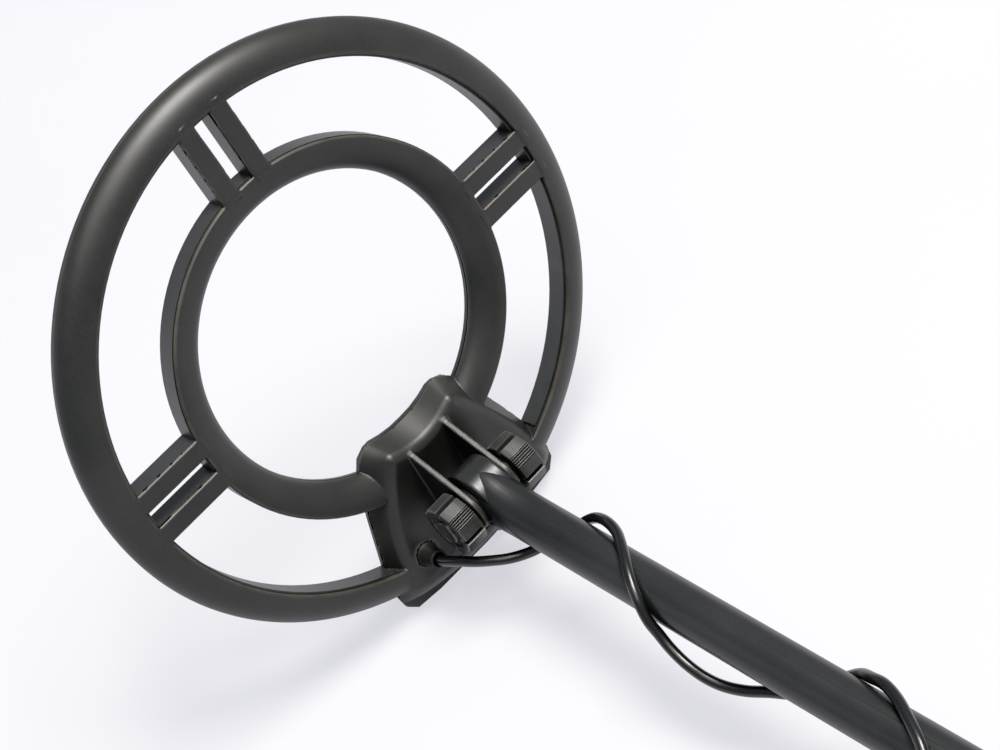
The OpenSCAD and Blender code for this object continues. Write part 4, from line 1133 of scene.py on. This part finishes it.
# ---------------------------------------------------------------- arm pad, strap, cable wraps
PAD_Z = 62                      # centre of the pad's arc
PAD_RADIUS = 42                 # nominal, turns angles into lengths
PAD_LOW, PAD_HIGH = math.radians(-206), math.radians(26)
PAD_START, PAD_END = 153.5, 231.5
STRAP_X = 192.5
STRAP_Z = 70                    # centre of the strap's arc


def stitch(centre, along, out, across, stations, thickness):
    """Six-sided thread in the rear frame; stations are (distance along, height, half width)."""
    rings = [[centre + along * distance + out * (height + thickness * math.sin(angle))
              + across * width * math.cos(angle) for angle in circle(6)]
             for distance, height, width in stations]
    return solid(rings, rear)


def make_stitches(name, shapes, slot):
    make(name, join(shapes), "shaft", slot).data.materials[0] = material("thread")


def pad_thickness(x, angle):
    """Returns the pad's thickness and its fullness, 0 at the edge to 1 inside."""
    half = (PAD_HIGH - PAD_LOW) / 2
    from_side = (half - abs(angle - (PAD_LOW + PAD_HIGH) / 2)) * PAD_RADIUS
    edge = min(from_side, min(x - PAD_START, PAD_END - x))
    full = math.sqrt(max(0.0, 1 - (1 - min(1.0, edge / 3.0)) ** 2))
    # quilting channels every 29 degrees, and a groove beside the binding
    turn = abs((math.degrees(angle) + 90 + 14.5) % 29.0 - 14.5)
    channel = turn * math.radians(1) * PAD_RADIUS
    quilt = 1 - 0.42 * math.exp(-(channel / 1.5) ** 2)
    groove = 0.55 * math.exp(-((edge - 4.2) / 0.5) ** 2)
    puff = 0.125 * math.sin(x * 0.19 + angle * 3.1) * full
    return max(0.35, 0.5 + 3.3 * full * quilt - groove + puff), full


def build_arm_pad():
    rings = []
    for angle in np.linspace(PAD_LOW, PAD_HIGH, 132):
        inner, outer = [], []
        for x in np.linspace(PAD_START, PAD_END, 44):
            thickness, full = pad_thickness(x, angle)
            radius = 42.36 - 0.25 * (1 - full)
            inner.append(around(x, angle, radius - thickness, PAD_Z))
            outer.append(around(x, angle, radius, PAD_Z))
        rings.append(np.array(inner + outer[::-1]))
    pad = make("arm_pad", solid(rings, rear), "shaft", "pad_fabric", angle=75)
    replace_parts(pad, "cuff_pad")

    # stitches along both bindings
    stations = [(s, 0.34 * (1 - (s / 1.15) ** 2) - 0.12,
                 0.24 * math.sqrt(max(0.05, 1 - (s / 1.2) ** 2)))
                for s in (-1.15, -0.8, 0, 0.8, 1.15)]
    shapes = []
    for x in (157.7, 227.3):
        for angle in np.arange(PAD_LOW + 0.12, PAD_HIGH - 0.1, 0.078):
            cos, sin = math.cos(angle), math.sin(angle)
            shapes.append(stitch(np.array(around(x, angle, 38.9, PAD_Z)),
                                 along=np.array([0, -sin, cos]), out=np.array([0, -cos, -sin]),
                                 across=np.array([1, 0, 0]), stations=stations, thickness=0.2))
    make_stitches("arm_pad_stitches", shapes, "pad_fabric")


def ribbon(path, half_width, thickness, middle_x, place, sway=0.0):
    """Webbing along a path of (y, z) points, its width along x."""
    path = np.asarray(path, float)
    tangents = np.gradient(path, axis=0)
    tangents /= np.linalg.norm(tangents, axis=1)[:, None]
    normals = np.stack([-tangents[:, 1], tangents[:, 0]], 1)
    steps = 12
    section = []
    for k in range(steps + 1):
        s = -1 + 2 * k / steps
        section.append((s * half_width, 0.5 * thickness * (1 - abs(s) ** 10 * 0.7)))
    section += [(x, -height) for x, height in reversed(section)]
    rings = []
    for i, (point, normal) in enumerate(zip(path, normals)):
        shift = sway * math.sin(i * 0.35)
        rings.append(np.array([(middle_x + x + shift, point[0] + normal[0] * height,
                                point[1] + normal[1] * height) for x, height in section]))
    return solid(rings, place)


def strap_point(degrees, radius, raised=0.0, x=STRAP_X):
    """Point over the arm; the strap sags a little at the top."""
    radius = radius - 0.9 * math.exp(-((degrees - 90) / 30) ** 2) + raised
    return around(x, math.radians(degrees), radius, STRAP_Z)


def build_arm_strap():
    tail = [(43.2, 74.0), (45.4, 74.0), (47.4, 74.6), (48.6, 76.6)]        # (y, z)
    path = tail + [strap_point(degrees, 48.75)[1:] for degrees in np.arange(10, 171, 2.5)]
    path += [(-y, z) for y, z in reversed(tail)]
    # overlapping tab, its free end lifted
    tab = [strap_point(degrees, 50.45, 0.5 if degrees > 137 else 0.0)[1:]
           for degrees in np.arange(52, 141, 2.5)]
    shapes = [ribbon(path, 12.4, 1.7, STRAP_X, rear), ribbon(tab, 12.2, 1.5, STRAP_X, rear, 0.08)]
    strap = make("arm_strap", join(shapes), "shaft", "strap_fabric", angle=60)
    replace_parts(strap, "cuff_strap")

    stations = [(s, 0.12 * (1 - (s / 0.9) ** 2), 0.22) for s in (-0.9, -0.5, 0, 0.5, 0.9)]
    shapes = []
    for degrees in (55.5, 84.0, 112.0):
        cos, sin = math.cos(math.radians(degrees)), math.sin(math.radians(degrees))
        for k in range(9):
            centre = np.array(strap_point(degrees, 51.25, x=182.4 + k * 2.52))
            shapes.append(stitch(centre, along=np.array([1, 0, 0]), out=np.array([0, cos, sin]),
                                 across=np.array([0, -sin, cos]), stations=stations,
                                 thickness=0.16))
    make_stitches("strap_stitches", shapes, "strap_fabric")


# Section of a wrap's band: (x from its middle, height)
WRAP_SECTION = [(-9, 0.35), (-8.7, 0.52), (-4, 0.58), (0, 0.58), (4, 0.58), (8.7, 0.52),
                (9, 0.35), (9, -0.35), (8.7, -0.5), (0, -0.52), (-8.7, -0.5), (-9, -0.35)]


def wrap_outline(cable_centre, offset, start, end, count):
    """(y, z) points round tube and cable together, at an offset; angles in degrees."""
    tube, cable_hold = 12.05, 2.35
    points = []
    for angle in np.radians(np.linspace(start, end, count)):
        normal = np.array([math.cos(angle), math.sin(angle)])
        if tube >= float(cable_centre @ normal) + cable_hold:
            base = normal * tube
        else:
            base = cable_centre + normal * cable_hold
        points.append(base + normal * offset)
    return points


def build_wraps():
    """Two hook-and-loop wraps holding the cable: a closed band and an outer tab each."""
    shapes = []
    for middle in (372.0, 470.0):
        wound = math.radians(wind_angle(middle))
        centre = np.array([WIND_RADIUS * math.cos(wound), WIND_RADIUS * math.sin(wound)])
        path = np.array(wrap_outline(centre, 0.62, 0, 360, 97)[:-1])
        looped = np.vstack([path, path[:1]])
        run = np.concatenate([[0], np.cumsum(np.linalg.norm(np.diff(looped, axis=0), axis=1))])
        even = np.linspace(0, run[-1], 110, endpoint=False)
        path = np.stack([np.interp(even, run, looped[:, k]) for k in range(2)], 1)
        tangents = np.roll(path, -1, 0) - np.roll(path, 1, 0)
        tangents /= np.linalg.norm(tangents, axis=1)[:, None]
        rings = [np.array([(middle + x, y + tangent[1] * height, z - tangent[0] * height)
                           for x, height in WRAP_SECTION])
                 for (y, z), tangent in zip(path, tangents)]
        shapes.append(solid(rings, shaft, closed=True))
        degrees = math.degrees(wound)
        tab = wrap_outline(centre, 1.85, degrees - 150, degrees + 62, 90)
        shapes.append(ribbon(tab, 8.6, 1.1, middle, shaft))
    wraps = make("hook_loop_wraps", join(shapes), "shaft", "strap_fabric", angle=60)
    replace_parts(wraps, "cable_wraps")


# ---------------------------------------------------------------- printed marks and dial
PANEL_KNOBS = (("tuning_knob", -36), ("sensitivity_knob", 0), ("mode_knob", 36))  # name, x
PANEL_KNOB_Y = -20
PRINT_LAYER = (-0.05, 0.07)     # heights off the panel's face
DIAL_LAYER = (-7.85, -7.72)
DIGIT_LAYER = (-7.85, -7.74)
DIAL_Y = 9                      # centre of the dial's arc

# Seven-segment digits: a segment's two ends on a 1 x 2 grid, and each digit's segments
SEGMENTS = {"a": ((0, 2), (1, 2)), "b": ((1, 2), (1, 1)), "c": ((1, 1), (1, 0)),
            "d": ((0, 0), (1, 0)), "e": ((0, 0), (0, 1)), "f": ((0, 1), (0, 2)),
            "g": ((0, 1), (1, 1))}
DIGITS = {"0": "abcdef", "1": "bc", "2": "abged", "4": "fgbc", "6": "afgedc", "8": "abcdefg"}


def radial_bar(start, end, width, degrees, centre_x, centre_y):
    cos, sin = math.cos(math.radians(degrees)), math.sin(math.radians(degrees))
    corners = ((start, -width / 2), (end, -width / 2), (end, width / 2), (start, width / 2))
    return [(centre_x + r * cos - d * sin, centre_y + r * sin + d * cos) for r, d in corners]


def build_panel_marks():
    bars = []
    for name, x in PANEL_KNOBS:
        span, count = (60, 4) if name == "mode_knob" else (140, 10)
        for i in range(count + 1):
            end = 16.2 if i in (0, count) or i == count // 2 else 15.1
            bars.append(radial_bar(13.8, end, 0.5, 90 + span - 2 * span * i / count,
                                   x, PANEL_KNOB_Y))
    # a circle of short bars in each upper corner, and a tick above the one at +x
    for x, radius in ((-45, 9.4), (45, 8.0)):
        bars += [radial_bar(radius, radius + 0.5, 1.6, i * 15, x, 18) for i in range(24)]
    bars.append(radial_bar(8.8, 10.6, 0.6, 90, 45, 18))
    marks = join([panel_prism(bar, *PRINT_LAYER) for bar in bars])
    obj = make("panel_marks", marks, "shaft", "panel_plastic", smooth=False)
    obj.data.materials[0] = material("print_white")


def dial_number(value, place_x, place_y):
    """Prisms for a printed number, centred on a place."""
    half_stroke = 0.13
    shapes = []
    for k, digit in enumerate(str(value)):
        left = place_x - 0.6 * len(str(value)) + k * 1.5
        for segment in DIGITS[digit]:
            start, end = [np.array([left + x * 0.95, place_y - 1 + y * 0.9])
                          for x, y in SEGMENTS[segment]]
            along = (end - start) / np.linalg.norm(end - start)
            side = np.array([-along[1], along[0]]) * half_stroke
            along = along * half_stroke
            outline = [start - along - side, end + along - side, end + along + side,
                       start - along + side]
            shapes.append(panel_prism(outline, *DIGIT_LAYER))
    return shapes


def build_dial_scale():
    def tick_angle(i):
        return 132 - 84 * i / 30

    bars = []
    for i in range(31):
        end, width = (23.6, 0.42) if i % 5 == 0 else (22.2, 0.26)
        bars.append(radial_bar(20.6, end, width, tick_angle(i), 0, DIAL_Y))
    bars += [radial_bar(20.1, 20.4, 0.78, 131 - 2 * i, 0, DIAL_Y) for i in range(42)]
    shapes = [panel_prism(bar, *DIAL_LAYER) for bar in bars]
    for value in range(0, 11, 2):
        angle = math.radians(tick_angle(3 * value))
        shapes += dial_number(value, 25.6 * math.cos(angle),
                              min(DIAL_Y + 25.6 * math.sin(angle), 33.0))
    obj = make("dial_scale", join(shapes), "shaft", "dial_card", smooth=False)
    obj.data.materials[0] = material("print_black")


def build_pointers():
    """White line on the face of each panel knob."""
    half_width = 0.52
    low, high = PANEL_KNOB_Y + 4.0, PANEL_KNOB_Y + 9.25
    for name, x in PANEL_KNOBS:
        outline = [(x - half_width, low), (x + half_width, low), (x + half_width, high),
                   (x - half_width, high)]
        pointer = make(name + "_pointer", panel_prism(outline, 15.22, 15.74), name,
                       "knob_plastic", smooth=False)
        pointer.data.materials[0] = material("print_white")


# ---------------------------------------------------------------- CAD pieces kept as they are
BEVEL_DEFAULT = 0.25
BEVELS = {
    "coil_tray": 0.35, "control_box": 1.2, "control_panel": 0.35, "arm_cuff": 1.1,
    "stand_bracket": 0.9, "box_saddle": 1.0, "end_cap": 1.2, "lock_collar": 0.7,
    "battery_door": 0.5, "stand_feet": 0.8, "tuning_knob": 0.45, "sensitivity_knob": 0.45,
    "mode_knob": 0.45, "cable_plug": 0.5, "pinpoint_button": 0.6, "cable_socket": 0.3,
    "pivot_bolt": 0.3, "meter_window": 0.3, "batteries": 1.2, "friction_washers": 0.15,
}


def finish_cad_pieces():
    """Material, weld, flat-face cleanup and rounded edges for every piece not replaced."""
    replaced = {name for obj in SCENE.objects for name in obj.get("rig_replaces", [])}
    for name, obj in frame["nodes"].items():
        if name in replaced:
            continue
        polygons = obj.data.polygons
        obj.data.materials.clear()
        obj.data.materials.append(material("tray" if name == "coil_tray" else SLOTS[name]))
        polygons.foreach_set("material_index", np.zeros(len(polygons), np.int32))
        polygons.foreach_set("use_smooth", np.ones(len(polygons), bool))
        weld = obj.modifiers.new("weld", "WELD")
        weld.merge_threshold = 1e-6
        planar = obj.modifiers.new("planar", "DECIMATE")
        planar.decimate_type = "DISSOLVE"
        planar.angle_limit = math.radians(0.6)
        bevel = obj.modifiers.new("edges", "BEVEL")
        bevel.width = BEVELS.get(name, BEVEL_DEFAULT) / 1000
        bevel.segments = 2
        bevel.limit_method = "ANGLE"
        bevel.angle_limit = math.radians(32)
        bevel.use_clamp_overlap = True
        bevel.harden_normals = False
        bevel.miter_outer = "MITER_ARC"
        weighted = obj.modifiers.new("normals", "WEIGHTED_NORMAL")
        weighted.keep_sharp = True
        weighted.weight = 60


# ---------------------------------------------------------------- stage, in metres
FLOOR_HALF = 9.0
FLOOR_GLOW = 0.625


def build_floor():
    """Pale floor that glows for the camera and less for bounced and mirrored rays."""
    z = min(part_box("stand_feet")[0][2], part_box("coil_tray")[0][2])
    mesh = bpy.data.meshes.new("floor")
    signs = ((-1, -1), (1, -1), (1, 1), (-1, 1))
    mesh.from_pydata([(x * FLOOR_HALF, y * FLOOR_HALF, z) for x, y in signs], [], [(0, 1, 2, 3)])
    floor = link_mesh("floor", mesh)
    mat = Shader("mat_floor")
    colour = mat.mix(mat.noise(size=180, detail=3, rough=0.5),
                     (0.235, 0.235, 0.242), (0.255, 0.255, 0.262))
    normal = mat.bump(mat.noise(size=90, detail=3, rough=0.5), depth=1.2, strength=0.3)
    rays = mat.node("ShaderNodeLightPath").outputs
    glow = mat.math("MULTIPLY_ADD", rays["Is Diffuse Ray"], -FLOOR_GLOW * 0.75, FLOOR_GLOW)
    glow = mat.math("MULTIPLY_ADD", rays["Is Glossy Ray"], -FLOOR_GLOW * 0.35, glow)
    mat.set(Base_Color=colour, Roughness=0.8, Normal=normal, Specular_IOR_Level=0.1,
            Emission_Color=(0.935, 0.935, 1.0), Emission_Strength=glow)
    mesh.materials.append(mat.material)


def build_world():
    """Dim bluish light, seen by the camera as a pale backdrop."""
    world = bpy.data.worlds.new("studio")
    SCENE.world = world
    world.use_nodes = True
    nodes, links = world.node_tree.nodes, world.node_tree.links
    nodes.clear()
    output = nodes.new("ShaderNodeOutputWorld")
    light = nodes.new("ShaderNodeBackground")
    backdrop = nodes.new("ShaderNodeBackground")
    mix = nodes.new("ShaderNodeMixShader")
    rays = nodes.new("ShaderNodeLightPath")
    for node, colour, strength in ((light, (0.86, 0.93, 1.0, 1), 0.36),
                                   (backdrop, (0.93, 0.93, 0.96, 1), 1.0)):
        node.inputs[0].default_value = colour
        node.inputs[1].default_value = strength
    links.new(rays.outputs["Is Camera Ray"], mix.inputs[0])
    links.new(light.outputs[0], mix.inputs[1])
    links.new(backdrop.outputs[0], mix.inputs[2])
    links.new(mix.outputs[0], output.inputs[0])


def area_light(name, place, target, size, power, colour):
    light = bpy.data.lights.new(name, "AREA")
    light.shape = "RECTANGLE"
    light.size, light.size_y = size
    light.energy = power
    light.color = colour
    obj = bpy.data.objects.new(name, light)
    SCENE.collection.objects.link(obj)
    obj.location = Vector(place)
    obj.rotation_mode = "QUATERNION"
    aim = Vector(target) - Vector(place)
    obj.rotation_quaternion = aim.to_track_quat("-Z", "Y")


def build_lights():
    above_pivot = (PIVOT[0], PIVOT[1], PIVOT[2] + 0.05)
    area_light("key", place=(0.5, 0.62, 2.25), target=above_pivot, size=(1.0, 1.0), power=70,
               colour=(1.0, 0.965, 0.91))
    area_light("top", place=(0.9, -0.2, 2.6), target=(0.45, 0, 0), size=(2.6, 1.8), power=30,
               colour=(1.0, 0.985, 0.96))
    area_light("fill", place=(-1.6, -1.9, 0.9), target=above_pivot, size=(1.6, 1.6), power=3,
               colour=(0.9, 0.94, 1.0))


def build_camera():
    data = bpy.data.cameras.new("camera")
    camera = bpy.data.objects.new("camera", data)
    SCENE.collection.objects.link(camera)
    data.sensor_width = 36.0
    data.lens = 79.2258
    data.clip_start = 0.05
    data.clip_end = 60
    place = Vector((0.625959, -0.256108, 0.593161))
    right = Vector((0.679017, 0.662204, -0.316894)).normalized()
    forward = Vector((-0.638684, 0.320034, -0.699758)).normalized()
    up = right.cross(forward).normalized()
    right = forward.cross(up).normalized()
    matrix_rows = [(right[i], up[i], -forward[i], place[i]) for i in range(3)]
    camera.matrix_world = Matrix((*matrix_rows, (0, 0, 0, 1)))
    SCENE.camera = camera


def set_view():
    """Standard view with a tone curve that deepens the darkest tones."""
    view = SCENE.view_settings
    view.view_transform = "Standard"
    view.look = "None"
    view.use_curve_mapping = True
    points = view.curve_mapping.curves[3].points
    points[0].location = (0.0, 0.0)
    points[-1].location = (1.0, 1.0)
    for x, y in ((0.012, 0.0045), (0.025, 0.0165), (0.05, 0.050), (0.10, 0.114), (0.25, 0.27)):
        points.new(x, y)
    view.curve_mapping.update()


build_cover()
thumb_knob("thumb_knob_left", -1, "bolt_knob", "knob_bolt_side")
thumb_knob("thumb_knob_right", 1, "nut_knob", "knob_nut_side")
build_gland()
build_cables()
build_lower_rod()
build_rod_lug()
build_foam_grip()
build_arm_pad()
build_arm_strap()
build_wraps()
build_panel_marks()
build_dial_scale()
build_pointers()
finish_cad_pieces()
build_floor()
build_world()
build_lights()
build_camera()
set_view()
